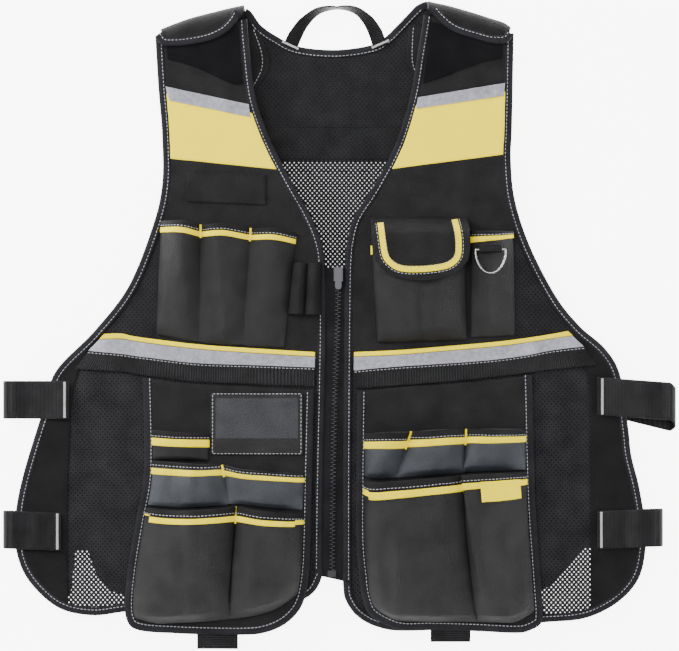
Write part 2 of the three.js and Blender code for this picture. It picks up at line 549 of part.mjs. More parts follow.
// D ring: a round wire bent to a D, its bar along X
function dRing() {
  const wire = RING.wire / 2;
  const geometry = new THREE.TorusGeometry(1, 0.1, 8, 32);
  const p = geometry.attributes.position;
  const line = (a) => {
    const x = Math.cos(a) * RING.width / 2;
    const y = Math.sin(a) > 0 ? Math.min(Math.sin(a) * 4, 1.2) : Math.sin(a) * RING.drop;
    return new THREE.Vector2(x, y);
  };
  const around = 8;
  const along = 32;
  for (let j = 0; j <= around; j++) {
    for (let i = 0; i <= along; i++) {
      const a = (i % along) / along * 2 * Math.PI;
      const b = (j % around) / around * 2 * Math.PI;
      const tangent = line(a + 1e-3).sub(line(a - 1e-3)).normalize();
      const mid = line(a);
      const out = wire * Math.cos(b);
      p.setXYZ(j * (along + 1) + i, mid.x + tangent.y * out, mid.y - tangent.x * out, wire * Math.sin(b));
    }
  }
  const ring = facingOut(geometry);
  ring.translate(ringAt[0], ringAt[1] - 1.2, ringZ);
  return ring;
}
add("d_ring", dRing(), METAL, 0.25, 1);

// Pocket panels hanging from the belt. Outer edge down the outer or zip side, along the hem and up again
const PANEL_RIGHT = [
  [-192, -53], [-191, -145], [-199, -194], [-206, -235], [-210, -270], [-209, -293], [-198, -305],
  [-160, -308.5], [-97, -310], [-68, -307], [-46, -296], [-32, -278], [-26, -250], [-24, -215],
  [-22.5, -150], [-20.5, -65],
];
const PANEL_LEFT = [
  [22, -66], [21, -155], [21, -215], [24, -250], [27, -272], [34, -289], [51, -300], [68, -305],
  [95, -305], [135, -306], [180, -308], [194, -306], [206, -299], [208, -288], [207, -271], [204, -229],
  [201, -187], [199, -134], [198, -91], [197, -50],
];
// The panel's heading just under the belt: across, up
const HEAD_RIGHT = [[-192, -53], [-140, -59], [-86, -61.5], [-20.5, -65]];
const HEAD_LEFT = [[22, -66], [76, -61], [113, -59], [166, -54], [197, -50]];

function toManifold(geometry) {
  const merged = mergeVertices(geometry, 1e-3);
  return new wasm.Manifold(new wasm.Mesh({
    numProp: 3,
    vertProperties: new Float32Array(merged.attributes.position.array),
    triVerts: new Uint32Array(merged.index.array),
  }));
}
function toGeometry(solid) {
  const mesh = solid.getMesh();
  return new THREE.BufferGeometry()
    .setAttribute("position", new THREE.BufferAttribute(new Float32Array(mesh.vertProperties), 3))
    .setIndex(new THREE.BufferAttribute(new Uint32Array(mesh.triVerts), 1));
}
const joined = (a, b) => toGeometry(toManifold(a).add(toManifold(b)));

const panelR = patch(
  edge(PANEL_RIGHT, 5.3, 0), edge(PANEL_RIGHT, 11, 15), edge(PANEL_RIGHT, 5.3, 11), edge(HEAD_RIGHT),
);
const tabR = quad([-138, -324], [-97, -324], [-138, -296], [-97, -298]);
add("pocket_panel_right", joined(sheet(onFront(panelR, PANEL_BASE), 6, 9, CLOTH),
  sheet(onFront(tabR, PANEL_BASE + 0.2), 2, 1, CLOTH - 0.4)), BLACK);
const panelL = patch(
  edge(PANEL_LEFT, 5, 0), edge(PANEL_LEFT, 12.8, 19), edge(PANEL_LEFT, 5, 12.8), edge(HEAD_LEFT),
);
const tabL = quad([95.5, -317], [135.5, -317], [95.5, -296], [135.5, -296]);
add("pocket_panel_left", joined(sheet(onFront(panelL, PANEL_BASE), 6, 9, CLOTH),
  sheet(onFront(tabL, PANEL_BASE + 0.2), 2, 1, CLOTH - 0.4)), BLACK);

// Pockets of the right panel
const IN = BINDING + 0.8;
const smallPocket = cells(
  patch(edge(PANEL_RIGHT, 0.86, 0.58, IN), edge([[-127, -134.5], [-127, -109]])),
  [0, 1], ON_PANEL, 10, 4, 0.6,
);
add("small_pocket", sheet(smallPocket, 6, 3, WALL), BLACK);
const windowPlan = quad([-124, -129], [-32, -129], [-124, -68], [-32, -68]);
add("card_window", sheet(onFront(windowPlan, ON_PANEL), 6, 4, TRIM), BLACK, 0.5);
const middlePocket = cells(
  patch(
    edge(PANEL_RIGHT, 1.62, 0.88, IN), edge(PANEL_RIGHT, 13.52, 14.02, IN),
    edge([[-186, -175], [-154, -177.5], [-116, -176], [-97, -175], [-71, -179], [-33.5, -182]]),
    edge([[-182, -134], [-141, -137.5], [-113, -138.5], [-90, -143.5], [-32, -148]]),
  ),
  [0, 0.5, 1], ON_PANEL, 12, 3,
);
add("middle_pocket", sheet(middlePocket, 12, 4, WALL), NYLON, 0.5);
// Foot of the lower pockets, outer side to zip side in even steps: across, up
const FOOT_OF_RIGHT_POCKETS = [
  [-200, -291], [-180, -297.5], [-160, -299], [-141, -300], [-121, -300.5], [-102, -300.5], [-82, -299],
  [-62, -294], [-43, -282],
];
const lowerRight = cells(
  patch(
    edge(PANEL_RIGHT, 5.2, 1.68, IN), edge(PANEL_RIGHT, 11.3, 13.46, IN), edge(FOOT_OF_RIGHT_POCKETS),
    edge([[-187, -178.5], [-154, -180.5], [-116, -178.5], [-97, -177.5], [-71, -181.5], [-34, -184]]),
  ),
  [0, 14 / 24, 1], ON_PANEL, 20, 6,
);
add("lower_pockets_right", sheet(lowerRight, 12, 8, WALL), BLACK);

// Pockets of the left panel
const chiselRow = cells(
  patch(
    edge(PANEL_LEFT, 0.94, 0.51, IN), edge(PANEL_LEFT, 16.8, 17.7, IN),
    edge([[30, -150], [40, -152.5], [74, -151], [125, -147], [131, -145.8], [189, -144]]),
    edge([
      [30.5, -112], [54, -109.5], [76, -108.5], [99, -106], [131, -105], [160, -103.5], [189.5, -103.5],
    ]),
  ),
  [0, 4 / 14, 9 / 14, 1], ON_PANEL, 18, 4,
);
add("chisel_pockets", sheet(chiselRow, 14, 4, WALL), NYLON, 0.5);
const FOOT_OF_LEFT_POCKETS = [
  [41, -282], [60, -293], [80, -295], [100, -296], [120, -296.5], [140, -297], [160, -298],
  [180, -298], [198, -288],
];
const lowerLeft = cells(
  patch(
    edge(PANEL_LEFT, 5, 0.98, IN), edge(PANEL_LEFT, 13.2, 16.76, IN), edge(FOOT_OF_LEFT_POCKETS),
    edge([[30, -153], [40, -155.5], [74, -153.5], [125, -149.6], [131, -148.4], [189.5, -146.5]]),
  ),
  [0, 7 / 11, 1], ON_PANEL, 20, 6,
);
add("lower_pockets_left", sheet(lowerLeft, 11, 8, WALL), BLACK);
const labelOn = (u, v) => lowerLeft(mix(8 / 11, 10.5 / 11, u), mix(0.79, 0.965, v));
add("blank_label", sheet(labelOn, 5, 2, 0.8, WALL + 0.7), TAPE_YELLOW);

export default vest;
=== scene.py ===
import math
import bpy
import numpy as np
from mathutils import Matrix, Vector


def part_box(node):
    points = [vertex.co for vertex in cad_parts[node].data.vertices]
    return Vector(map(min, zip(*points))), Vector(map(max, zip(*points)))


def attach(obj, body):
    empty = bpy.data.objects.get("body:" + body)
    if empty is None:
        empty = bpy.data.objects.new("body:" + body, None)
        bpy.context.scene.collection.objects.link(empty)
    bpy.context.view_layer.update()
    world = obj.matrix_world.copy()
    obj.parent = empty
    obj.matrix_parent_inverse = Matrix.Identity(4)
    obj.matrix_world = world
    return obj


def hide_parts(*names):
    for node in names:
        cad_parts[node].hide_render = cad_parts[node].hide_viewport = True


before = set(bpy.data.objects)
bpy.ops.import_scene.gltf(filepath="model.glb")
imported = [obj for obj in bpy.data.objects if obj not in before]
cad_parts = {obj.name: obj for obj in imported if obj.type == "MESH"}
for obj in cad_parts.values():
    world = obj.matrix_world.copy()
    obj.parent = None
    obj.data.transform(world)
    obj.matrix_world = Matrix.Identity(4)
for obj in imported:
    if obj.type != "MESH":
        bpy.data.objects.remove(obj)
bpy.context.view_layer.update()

# Studio: a pale floor that glows a little, as a lit table does, a broad soft light over the vest
# and a smaller one from its upper left. The camera looks straight down on the middle of the vest.
LENS = 220
SENSOR = 36
LOOK_AT = (0.0045, -0.0005)
LOOK_HEIGHT = 0.022
SEEN_ACROSS = 0.679
camera_data = bpy.data.cameras.new("camera")
camera_data.lens = LENS
camera_data.sensor_width = SENSOR
camera = bpy.data.objects.new("camera", camera_data)
camera.location = (LOOK_AT[0], LOOK_AT[1], LOOK_HEIGHT + SEEN_ACROSS * LENS / SENSOR)
bpy.context.scene.collection.objects.link(camera)
bpy.context.scene.camera = camera


def soft_light(name, place, size, power):
    """A rectangle of light that faces the middle of the vest."""
    data = bpy.data.lights.new(name, "AREA")
    data.shape = "RECTANGLE"
    data.size, data.size_y = size
    data.energy = power
    lamp = bpy.data.objects.new(name, data)
    lamp.location = place
    aim = -np.array(place, float)
    lamp.rotation_euler = (math.atan2(math.hypot(aim[0], aim[1]), -aim[2]), 0, math.atan2(-aim[0], aim[1]))
    bpy.context.scene.collection.objects.link(lamp)


soft_light("over", (-0.3, 0.5, 2.2), (1.6, 1.6), 50)
soft_light("upper_left", (-1.7, 1.0, 1.0), (1.0, 1.0), 48)
soft_light("right_low", (1.7, -0.5, 0.8), (0.9, 0.9), 12)
world = bpy.data.worlds.new("studio")
world.use_nodes = True
world.node_tree.nodes["Background"].inputs["Color"].default_value = (1, 1, 1, 1)
world.node_tree.nodes["Background"].inputs["Strength"].default_value = 0.45
bpy.context.scene.world = world

FLOOR_REACH = 30
UNDER_THE_VEST = 0.0004
TABLE_GLOW = 7.0
floor_mesh = bpy.data.meshes.new("floor")
floor_corners = [(FLOOR_REACH * x, FLOOR_REACH * y, 0) for x, y in ((-1, -1), (1, -1), (1, 1), (-1, 1))]
floor_mesh.from_pydata(floor_corners, [], [(0, 1, 2, 3)])
floor = bpy.data.objects.new("floor", floor_mesh)
floor.location.z = -UNDER_THE_VEST
bpy.context.scene.collection.objects.link(floor)
floor_finish = bpy.data.materials.new("pale_table")
floor_finish.use_nodes = True
table_shader = floor_finish.node_tree.nodes["Principled BSDF"]
table_grain = floor_finish.node_tree.nodes.new("ShaderNodeTexNoise")
table_grain.inputs["Scale"].default_value = 3
table_tone = floor_finish.node_tree.nodes.new("ShaderNodeMapRange")
table_tone.inputs["To Min"].default_value = 0.80
table_tone.inputs["To Max"].default_value = 0.84
floor_finish.node_tree.links.new(table_grain.outputs["Fac"], table_tone.inputs["Value"])
floor_finish.node_tree.links.new(table_tone.outputs["Result"], table_shader.inputs["Base Color"])
table_shader.inputs["Roughness"].default_value = 0.9
table_shader.inputs["Emission Color"].default_value = (1, 1, 1, 1)
table_shader.inputs["Emission Strength"].default_value = TABLE_GLOW
floor_mesh.materials.append(floor_finish)


# The back: a yoke of doubled mesh, a middle of single open mesh and two doubled sides, all flat on
# the floor, bound round the edge with rounded tape. The pattern is drawn in millimetres from the
# middle of the vest, right half on -X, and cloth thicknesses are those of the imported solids.
BINDING = 8.5
BINDING_THICK = 3.2
# A panel's edge lies this far inside the outline, in the fold of its binding
TUCK = 3.5
MM = 0.001
BODY = "vest"


def unit(ways):
    return ways / (np.linalg.norm(ways, axis=-1, keepdims=True) + 1e-12)


# The step over which slopes are measured, as a share
NEAR = 1e-3


def drawn(rows):
    """A smooth line through the rows, as a function of the row number."""
    rows = np.asarray(rows, float)
    last = len(rows) - 1

    def at(t):
        t = np.clip(np.asarray(t, float), 0, last)
        i = np.minimum(t.astype(int), last - 1)
        w = (t - i)[..., None]
        p0, p1 = rows[np.maximum(i - 1, 0)], rows[i]
        p2, p3 = rows[i + 1], rows[np.minimum(i + 2, last)]
        v0, v1 = (p2 - p0) / 2, (p3 - p1) / 2
        return (2 * p1 - 2 * p2 + v0 + v1) * w**3 + (-3 * p1 + 3 * p2 - 2 * v0 - v1) * w**2 + v0 * w + p1

    return at


def edge(rows, start=0, stop=None, inset=0.0):
    """Part of a drawn line, as a function of its share from 0 to 1, moved to its left by the inset."""
    at = drawn(rows)
    stop = len(rows) - 1 if stop is None else stop

    def along(share):
        t = start + (stop - start) * np.asarray(share, float)
        here = at(t)
        way = unit(at(np.minimum(t + NEAR, len(rows) - 1)) - at(np.maximum(t - NEAR, 0)))
        return here + inset * np.stack([-way[..., 1], way[..., 0]], -1)

    return along


def patch(left, right, bottom=None, top=None):
    """A flat plan between two sides, bowed along its bottom and its top where they are given."""
    def bow(curve, u):
        if curve is None:
            return 0.0
        chord = curve(np.zeros(1)) * (1 - u[..., None]) + curve(np.ones(1)) * u[..., None]
        return curve(u) - chord

    def at(u, v):
        w = v[..., None]
        sides = left(v) * (1 - u[..., None]) + right(v) * u[..., None]
        return sides + (1 - w) * bow(bottom, u) + w * bow(top, u)

    return at


def quad(low_left, low_right, high_left, high_right):
    """A flat plan with four straight sides."""
    return patch(edge([low_left, high_left]), edge([low_right, high_right]))


NOISE_SIZE = 64
noise_grid = np.random.default_rng(11).uniform(-1, 1, (NOISE_SIZE, NOISE_SIZE))


def crumple(x, y, pitch, shift=0.0):
    """Smooth bumps from -1 to 1 with the pitch given, in millimetres."""
    x = np.asarray(x, float) / pitch + shift * 7.3 + 200
    y = np.asarray(y, float) / pitch + shift * 3.1 + 200
    i, j = np.floor(x).astype(int), np.floor(y).astype(int)
    a, b = x - i, y - j
    a, b = a * a * (3 - 2 * a), b * b * (3 - 2 * b)

    def value(p, q):
        return noise_grid[p % NOISE_SIZE, q % NOISE_SIZE]

    low = value(i, j) * (1 - a) + value(i + 1, j) * a
    high = value(i, j + 1) * (1 - a) + value(i + 1, j + 1) * a
    return low * (1 - b) + high * b


def shares(count, span, lip=0.5):
    """Grid lines from 0 to 1, with one close to each end so that the rim rounds off."""
    e = min(0.2 / count, lip / max(span, 1.0))
    return np.concatenate([[0, e], np.linspace(0, 1, count + 1)[1:-1], [1 - e, 1]])


def grid_faces(rows, columns, offset=0, turned=False):
    """The four-sided faces of a grid of points, row by row."""
    i, j = np.meshgrid(np.arange(rows - 1), np.arange(columns - 1), indexing="ij")
    a = (i * columns + j).ravel() + offset
    faces = np.stack([a, a + 1, a + 1 + columns, a + columns], 1)
    return faces[:, ::-1] if turned else faces


def make_mesh(name, points, faces, uv, finish, smooth=True):
    """A mesh from points in millimetres, with the cloth's own plan as its UV map."""
    mesh = bpy.data.meshes.new(name)
    mesh.vertices.add(len(points))
    mesh.vertices.foreach_set("co", (np.asarray(points) * MM).astype(np.float32).ravel())
    faces = np.asarray(faces)
    mesh.loops.add(faces.size)
    mesh.loops.foreach_set("vertex_index", faces.astype(np.int32).ravel())
    mesh.polygons.add(len(faces))
    mesh.polygons.foreach_set("loop_start", np.arange(0, faces.size, faces.shape[1], dtype=np.int32))
    mesh.polygons.foreach_set("loop_total", np.full(len(faces), faces.shape[1], np.int32))
    mesh.polygons.foreach_set("use_smooth", np.full(len(faces), smooth))
    layer = mesh.uv_layers.new(name="cut")
    layer.data.foreach_set("uv", (np.asarray(uv)[faces.ravel()] * MM).astype(np.float32).ravel())
    mesh.update(calc_edges=True)
    mesh.validate()
    mesh.materials.append(finish)
    obj = bpy.data.objects.new(name, mesh)
    bpy.context.scene.collection.objects.link(obj)
    return obj


def cut_size(points):
    """Width, length and area of a grid of points, as cut, in metres."""
    across = np.linalg.norm(np.diff(points, axis=1), axis=2).sum(1).max()
    along = np.linalg.norm(np.diff(points, axis=0), axis=2).sum(0).max()
    rising = points[1:, 1:] - points[:-1, :-1]
    falling = points[:-1, 1:] - points[1:, :-1]
    area = np.linalg.norm(np.cross(rising, falling), axis=2).sum() / 2
    return across * MM, along * MM, area * MM * MM


def facing(place, u, v):
    """Which way a sheet faces at the shares given of its width and length."""
    du = place(np.minimum(u + NEAR, 1), v) - place(np.maximum(u - NEAR, 0), v)
    dv = place(u, np.minimum(v + NEAR, 1)) - place(u, np.maximum(v - NEAR, 0))
    return unit(np.cross(du, dv))


# How much of its thickness a sheet keeps at its rim
RIM = 0.35


def cloth(name, place, columns, rows, thick, finish, lift=0.0, stands_for=(),
          ribbed=False):
    """A sheet over place(u, v), lifted along its own slope, with a rounded rim."""
    solid = [name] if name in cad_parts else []
    probe = place(np.array([[0.0, 1.0], [0.0, 1.0]]), np.array([[0.5, 0.5], [0.5, 0.5]]))
    width = np.linalg.norm(probe[0, 1] - probe[0, 0])
    probe = place(np.array([[0.5], [0.5]]), np.array([[0.0], [1.0]]))
    length = np.linalg.norm(probe[1, 0] - probe[0, 0])
    u, v = np.meshgrid(shares(columns, width), shares(rows, length))
    mid = place(u, v)
    out = facing(place, u, v)
    r, c = u.shape
    rim = np.ones((r, c))
    rim[[0, -1], :] = RIM
    rim[:, [0, -1]] = RIM
    half = out * (thick / 2) * rim[..., None]
    middle = mid + out * (lift + thick / 2)
    points = np.concatenate([(middle + half).reshape(-1, 3), (middle - half).reshape(-1, 3)])
    n = r * c
    faces = [grid_faces(r, c), grid_faces(r, c, n, True)]
    border = np.concatenate([
        np.arange(c - 1), np.arange(r - 1) * c + c - 1, np.arange(c - 1, 0, -1) + (r - 1) * c,
        np.arange(r - 1, 0, -1) * c,
    ])
    following = np.roll(border, -1)
    faces.append(np.stack([following, border, border + n, following + n], 1))
    across, along, area = cut_size(middle)
    plan = mid[..., :2].reshape(-1, 2)
    if ribbed:
        ribs = [v * along / MM, u * across / MM] if across > along else [u * across / MM, v * along / MM]
        plan = np.stack(ribs, -1).reshape(-1, 2)
    label = name + "_cloth" if solid else name
    obj = make_mesh(label, points, np.concatenate(faces), np.concatenate([plan, plan]), finish)
    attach(obj, BODY)
    for node in solid + list(stands_for):
        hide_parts(node)
    return obj


def feed(tree, socket, value):
    """Links another node's output to the socket, or sets a plain value on it."""
    if isinstance(value, bpy.types.NodeSocket):
        tree.links.new(value, socket)
    else:
        socket.default_value = value


def tree_math(tree, operation, *values, clamp=False):
    node = tree.nodes.new("ShaderNodeMath")
    node.operation = operation
    node.use_clamp = clamp
    for socket, value in zip(node.inputs, values):
        feed(tree, socket, value)
    return node.outputs[0]


def mixed(tree, factor, first, second):
    """The first colour where the factor is 0, the second where it is 1."""
    node = tree.nodes.new("ShaderNodeMix")
    node.data_type = "RGBA"
    feed(tree, node.inputs["Factor"], factor)
    feed(tree, node.inputs[6], first)
    feed(tree, node.inputs[7], second)
    return node.outputs[2]


def shader_group(name, inputs, outputs):
    """A node group with its named sockets: the group, what it is given, and where it puts its results."""
    group = bpy.data.node_groups.new(name, "ShaderNodeTree")
    for label, kind, value in inputs:
        socket = group.interface.new_socket(name=label, in_out="INPUT", socket_type=kind)
        if value is not None:
            socket.default_value = value
    for label, kind in outputs:
        group.interface.new_socket(name=label, in_out="OUTPUT", socket_type=kind)
    return group, group.nodes.new("NodeGroupInput").outputs, group.nodes.new("NodeGroupOutput").inputs


# Open mesh: oval holes in two interleaved lattices. Solid is 1 on the yarn and 0 in a hole.
open_mesh, given, put = shader_group(
    "open_mesh",
    [("Cut", "NodeSocketVector", None), ("Across", "NodeSocketFloat", 0.00456),
     ("Along", "NodeSocketFloat", 0.0051), ("Hole", "NodeSocketFloat", 0.155)],
    [("Solid", "NodeSocketFloat"), ("Height", "NodeSocketFloat")],
)
axes = open_mesh.nodes.new("ShaderNodeSeparateXYZ")
open_mesh.links.new(given["Cut"], axes.inputs[0])
cell_x = tree_math(open_mesh, "DIVIDE", axes.outputs[0], given["Across"])
cell_y = tree_math(open_mesh, "DIVIDE", axes.outputs[1], given["Along"])


def from_middle(tree, cells, shift):
    """How far a place is from the middle of its cell, in cells, with the lattice moved by the shift."""
    return tree_math(tree, "SUBTRACT", tree_math(tree, "FRACT", tree_math(tree, "ADD", cells, shift)), 0.5)


nearest = []
for shift in (0.0, 0.5):
    side_x = from_middle(open_mesh, cell_x, shift)
    side_y = from_middle(open_mesh, cell_y, shift)
    squares = tree_math(open_mesh, "ADD", tree_math(open_mesh, "MULTIPLY", side_x, side_x),
                        tree_math(open_mesh, "MULTIPLY", side_y, side_y))
    nearest.append(tree_math(open_mesh, "SQRT", squares))
away = tree_math(open_mesh, "MINIMUM", *nearest)
open_mesh.links.new(tree_math(open_mesh, "GREATER_THAN", away, given["Hole"]), put["Solid"])
open_mesh.links.new(tree_math(open_mesh, "SUBTRACT", away, given["Hole"]), put["Height"])

# Uneven dye: a broad soft tone and a fine slub, shared by every cloth of the vest.
uneven, given, put = shader_group(
    "uneven_dye",
    [("Place", "NodeSocketVector", None), ("Dark", "NodeSocketColor", (0, 0, 0, 1)),
     ("Light", "NodeSocketColor", (1, 1, 1, 1)), ("Fine", "NodeSocketFloat", 900.0)],
    [("Color", "NodeSocketColor"), ("Height", "NodeSocketFloat")],
)
broad = uneven.nodes.new("ShaderNodeTexNoise")
broad.inputs["Scale"].default_value = 45
broad.inputs["Detail"].default_value = 3
fine = uneven.nodes.new("ShaderNodeTexNoise")
fine.inputs["Detail"].default_value = 2
uneven.links.new(given["Place"], broad.inputs["Vector"])
uneven.links.new(given["Place"], fine.inputs["Vector"])
uneven.links.new(given["Fine"], fine.inputs["Scale"])
both = tree_math(uneven, "ADD", tree_math(uneven, "MULTIPLY", broad.outputs["Fac"], 0.45),
                 tree_math(uneven, "MULTIPLY", fine.outputs["Fac"], 0.55))
spread = uneven.nodes.new("ShaderNodeMapRange")
spread.inputs["From Min"].default_value = 0.35
spread.inputs["From Max"].default_value = 0.68
uneven.links.new(both, spread.inputs["Value"])
tone = mixed(uneven, spread.outputs["Result"], given["Dark"], given["Light"])
uneven.links.new(tone, put["Color"])
uneven.links.new(fine.outputs["Fac"], put["Height"])


def placed_group(tree, group, **values):
    node = tree.nodes.new("ShaderNodeGroup")
    node.node_tree = group
    for label, value in values.items():
        feed(tree, node.inputs[label], value)
    return node.outputs


def new_finish(name, slot, roughness, metallic=0.0):
    """A material, its node tree and its shader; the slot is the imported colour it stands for."""
    finish = bpy.data.materials.new(name)
    finish["slot"] = slot
    finish.use_nodes = True
    shader = finish.node_tree.nodes["Principled BSDF"]
    shader.inputs["Roughness"].default_value = roughness
    shader.inputs["Metallic"].default_value = metallic
    shader.inputs["Specular IOR Level"].default_value = 0.15
    return finish, finish.node_tree, shader


def cut_place(tree):
    node = tree.nodes.new("ShaderNodeUVMap")
    node.uv_map = "cut"
    return node.outputs[0]


def raise_bump(tree, shader, height, distance, strength=1.0):
    bump = tree.nodes.new("ShaderNodeBump")
    bump.inputs["Strength"].default_value = strength
    bump.inputs["Distance"].default_value = distance
    tree.links.new(height, bump.inputs["Height"])
    tree.links.new(bump.outputs[0], shader.inputs["Normal"])


def mesh_finish(name, dark, light, holes=True, haze=0.62):
    """A mesh cloth: cut through at its holes down to the haze, or doubled, with painted shade in its holes."""
    finish, tree, shader = new_finish(name, "mesh", 0.75)
    place = cut_place(tree)
    dye = placed_group(tree, uneven, Place=place, Dark=(*dark, 1), Light=(*light, 1), Fine=700.0)
    net = placed_group(tree, open_mesh, Cut=place)
    if holes:
        tree.links.new(tree_math(tree, "MAXIMUM", net["Solid"], haze), shader.inputs["Alpha"])
        tree.links.new(dye["Color"], shader.inputs["Base Color"])
    else:
        # Painted shade: the holes of a doubled mesh are coloured a quarter as bright as its dark dye, as the shade
        # behind them
        painted_shade_in_holes = (dark[0] * 0.25, dark[1] * 0.25, dark[2] * 0.25, 1)
        shade = mixed(tree, net["Solid"], painted_shade_in_holes, dye["Color"])
        tree.links.new(shade, shader.inputs["Base Color"])
    raise_bump(tree, shader, net["Height"], 0.0008, 0.5)
    return finish


open_net = mesh_finish("open_net", (0.005, 0.005, 0.006), (0.018, 0.018, 0.021))
wing_net = mesh_finish("wing_net", (0.006, 0.006, 0.007), (0.024, 0.024, 0.027), haze=0.45)
double_net = mesh_finish("double_net", (0.005, 0.005, 0.006), (0.020, 0.020, 0.023), holes=False)
# Painted shade: a near-black mesh for the sheets under the wings
wing_shade_net = mesh_finish("wing_shade_net", (0.001, 0.001, 0.001), (0.005, 0.005, 0.006), holes=False)

BACK_SIDE = [
    (-168, 279), (-167, 240), (-165, 190), (-166, 140), (-172, 110), (-192, 55), (-222, 5),
    (-232, -30), (-233, -100), (-229, -160), (-212, -210), (-185, -238),
]
BACK_EDGE = BACK_SIDE + [(-120, -244), (0, -246), (120, -244)] + [(-x, y) for x, y in reversed(BACK_SIDE)]
BACK_LAST = len(BACK_EDGE) - 1
BACK_NECK = [
    (-82, 307), (-73, 300), (-59, 290.5), (-37, 280), (1, 276.5), (37, 281.5), (50, 289), (60, 297),
    (74, 309),
]
MIDDLE_HALF = 78
YOKE_FOOT = 166


def flat_at(plan, height):
    """A plan laid at a height on the floor, barely uneven."""
    def at(u, v):
        p = plan(u, v)
        z = height + 0.15 * crumple(p[..., 0], p[..., 1], 22)
        return np.concatenate([p, z[..., None]], -1)
    return at


NECK_TUCK = 1.5
neck_inner = edge(BACK_NECK, 0, 8, -NECK_TUCK)
yoke_right_side = edge(BACK_EDGE, 2.5, 0.05, TUCK)
yoke_left_side = edge(BACK_EDGE, BACK_LAST - 2.5, BACK_LAST - 0.05, TUCK)
SHOULDER_SHARE = 3 / 16
RISE_RIGHT = 14
RISE_LEFT = 18


def up_to_neck(side, neck, way, rise):
    """A shoulder's top edge from the armhole to the neck; it rises near the neck to meet the fold."""
    way = np.clip(way, 0, 1)[..., None]
    lift = rise * np.sin(np.pi * way**3)
    return side(np.ones(1)) * (1 - way) + neck * way + np.concatenate([0 * lift, lift], -1)


def back_top(u):
    """The yoke's top edge from one armhole to the other: a shoulder, the neck and a shoulder."""
    u = np.asarray(u, float)
    from_edge = np.minimum(u, 1 - u) / SHOULDER_SHARE
    right = up_to_neck(yoke_right_side, neck_inner(np.zeros(1)), from_edge, RISE_RIGHT)
    left = up_to_neck(yoke_left_side, neck_inner(np.ones(1)), from_edge, RISE_LEFT)
    middle = neck_inner(np.clip((u - SHOULDER_SHARE) / (1 - 2 * SHOULDER_SHARE), 0, 1))
    sides = np.where(u[..., None] < 0.5, right, left)
    return np.where(from_edge[..., None] < 1, sides, middle)


yoke_plan = patch(yoke_right_side, yoke_left_side, None, back_top)
YOKE_LAYER = 0.6
DOUBLE_LAYER = 1.2
OPEN_LAYER = 0.5
cloth("back_yoke_front_layer", flat_at(yoke_plan, 1.3), 90, 40, YOKE_LAYER, open_net,
      stands_for=["back_yoke_mesh"])
cloth("back_yoke_rear_layer", flat_at(yoke_plan, 0.1), 90, 40, YOKE_LAYER, double_net)
side_right = patch(edge(BACK_EDGE, 10.6, 2.4, TUCK),
                   edge([(-MIDDLE_HALF, -236), (-MIDDLE_HALF, YOKE_FOOT + 3)]))
side_left = patch(edge([(MIDDLE_HALF, -236), (MIDDLE_HALF, YOKE_FOOT + 3)]),
                  edge(BACK_EDGE, BACK_LAST - 10.6, BACK_LAST - 2.4, TUCK))
middle_back = quad((-MIDDLE_HALF + 0.4, -237), (MIDDLE_HALF - 0.4, -237),
                   (-MIDDLE_HALF + 0.4, YOKE_FOOT + 3), (MIDDLE_HALF - 0.4, YOKE_FOOT + 3))
cloth("back_side_right", flat_at(side_right, 0.3), 30, 60, DOUBLE_LAYER, double_net,
      stands_for=["back_lower_mesh"])
cloth("back_side_left", flat_at(side_left, 0.3), 30, 60, DOUBLE_LAYER, double_net)
cloth("back_middle", flat_at(middle_back, 0.4), 40, 100, OPEN_LAYER, open_net)


def height_on_floor(x, y):
    return np.full(np.shape(x), BINDING_THICK / 2)


TAPE_SIDES = 14
TAPE_PUCKER = 0.09


def run_of(line):
    """How far along a line each of its points is."""
    return np.concatenate([[0], np.cumsum(np.linalg.norm(np.diff(line, axis=0), axis=1))])


def tape_round(name, rows, inset, height, finish, width=BINDING, thick=BINDING_THICK, steps=260):
    """A folded tape along a drawn line: a rounded section carried along it, closed at both ends."""
    p = edge(rows, inset=inset)(np.linspace(0, 1, steps))
    way = unit(np.gradient(p, axis=0))
    side = np.stack([way[:, 1], -way[:, 0]], 1)
    turn = np.linspace(0, 2 * math.pi, TAPE_SIDES + 1)[:-1]
    reach = np.sign(np.cos(turn)) * np.abs(np.cos(turn)) ** 0.6 * width / 2
    crown = np.sign(np.sin(turn)) * np.abs(np.sin(turn)) ** 0.8 * thick / 2
    pucker = 1 + TAPE_PUCKER * crumple(p[:, 0], p[:, 1], 5)
    across = p[:, None, :] + side[:, None, :] * reach[None, :, None]
    z = height(across[..., 0], across[..., 1]) + crown[None, :] * pucker[:, None]
    points = np.concatenate([across, z[..., None]], -1)
    n = len(turn)
    i, j = np.meshgrid(np.arange(steps - 1), np.arange(n), indexing="ij")
    a, b = (i * n + j).ravel(), (i * n + (j + 1) % n).ravel()
    faces = [np.stack([a, b, b + n, a + n], 1)]
    for k, foot in ((0, 0), (1, (steps - 1) * n)):
        cap = np.array([
            [foot + m, foot + n - 1 - m, foot + n - 2 - m, foot + m + 1] for m in range(n // 2 - 1)
        ])
        faces.append(cap if k == 0 else cap[:, ::-1])
    length = run_of(p)
    uv = np.stack(np.broadcast_arrays(reach[None, :], length[:, None]), -1).reshape(-1, 2)
    label = name + "_tape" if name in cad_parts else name
    obj = make_mesh(label, points.reshape(-1, 3), np.concatenate(faces), uv, finish)
    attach(obj, BODY)
    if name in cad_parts:
        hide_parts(name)
    return obj


STITCH_PITCH = 3.7
STITCH_FLATNESS = 0.7
# How far before and after a stitch its direction is measured, in millimetres
AHEAD = 0.8


def points_at(line, run, at):
    """The points of a line that lie these distances along it."""
    return np.stack([np.interp(at, run, line[:, k]) for k in range(3)], 1)


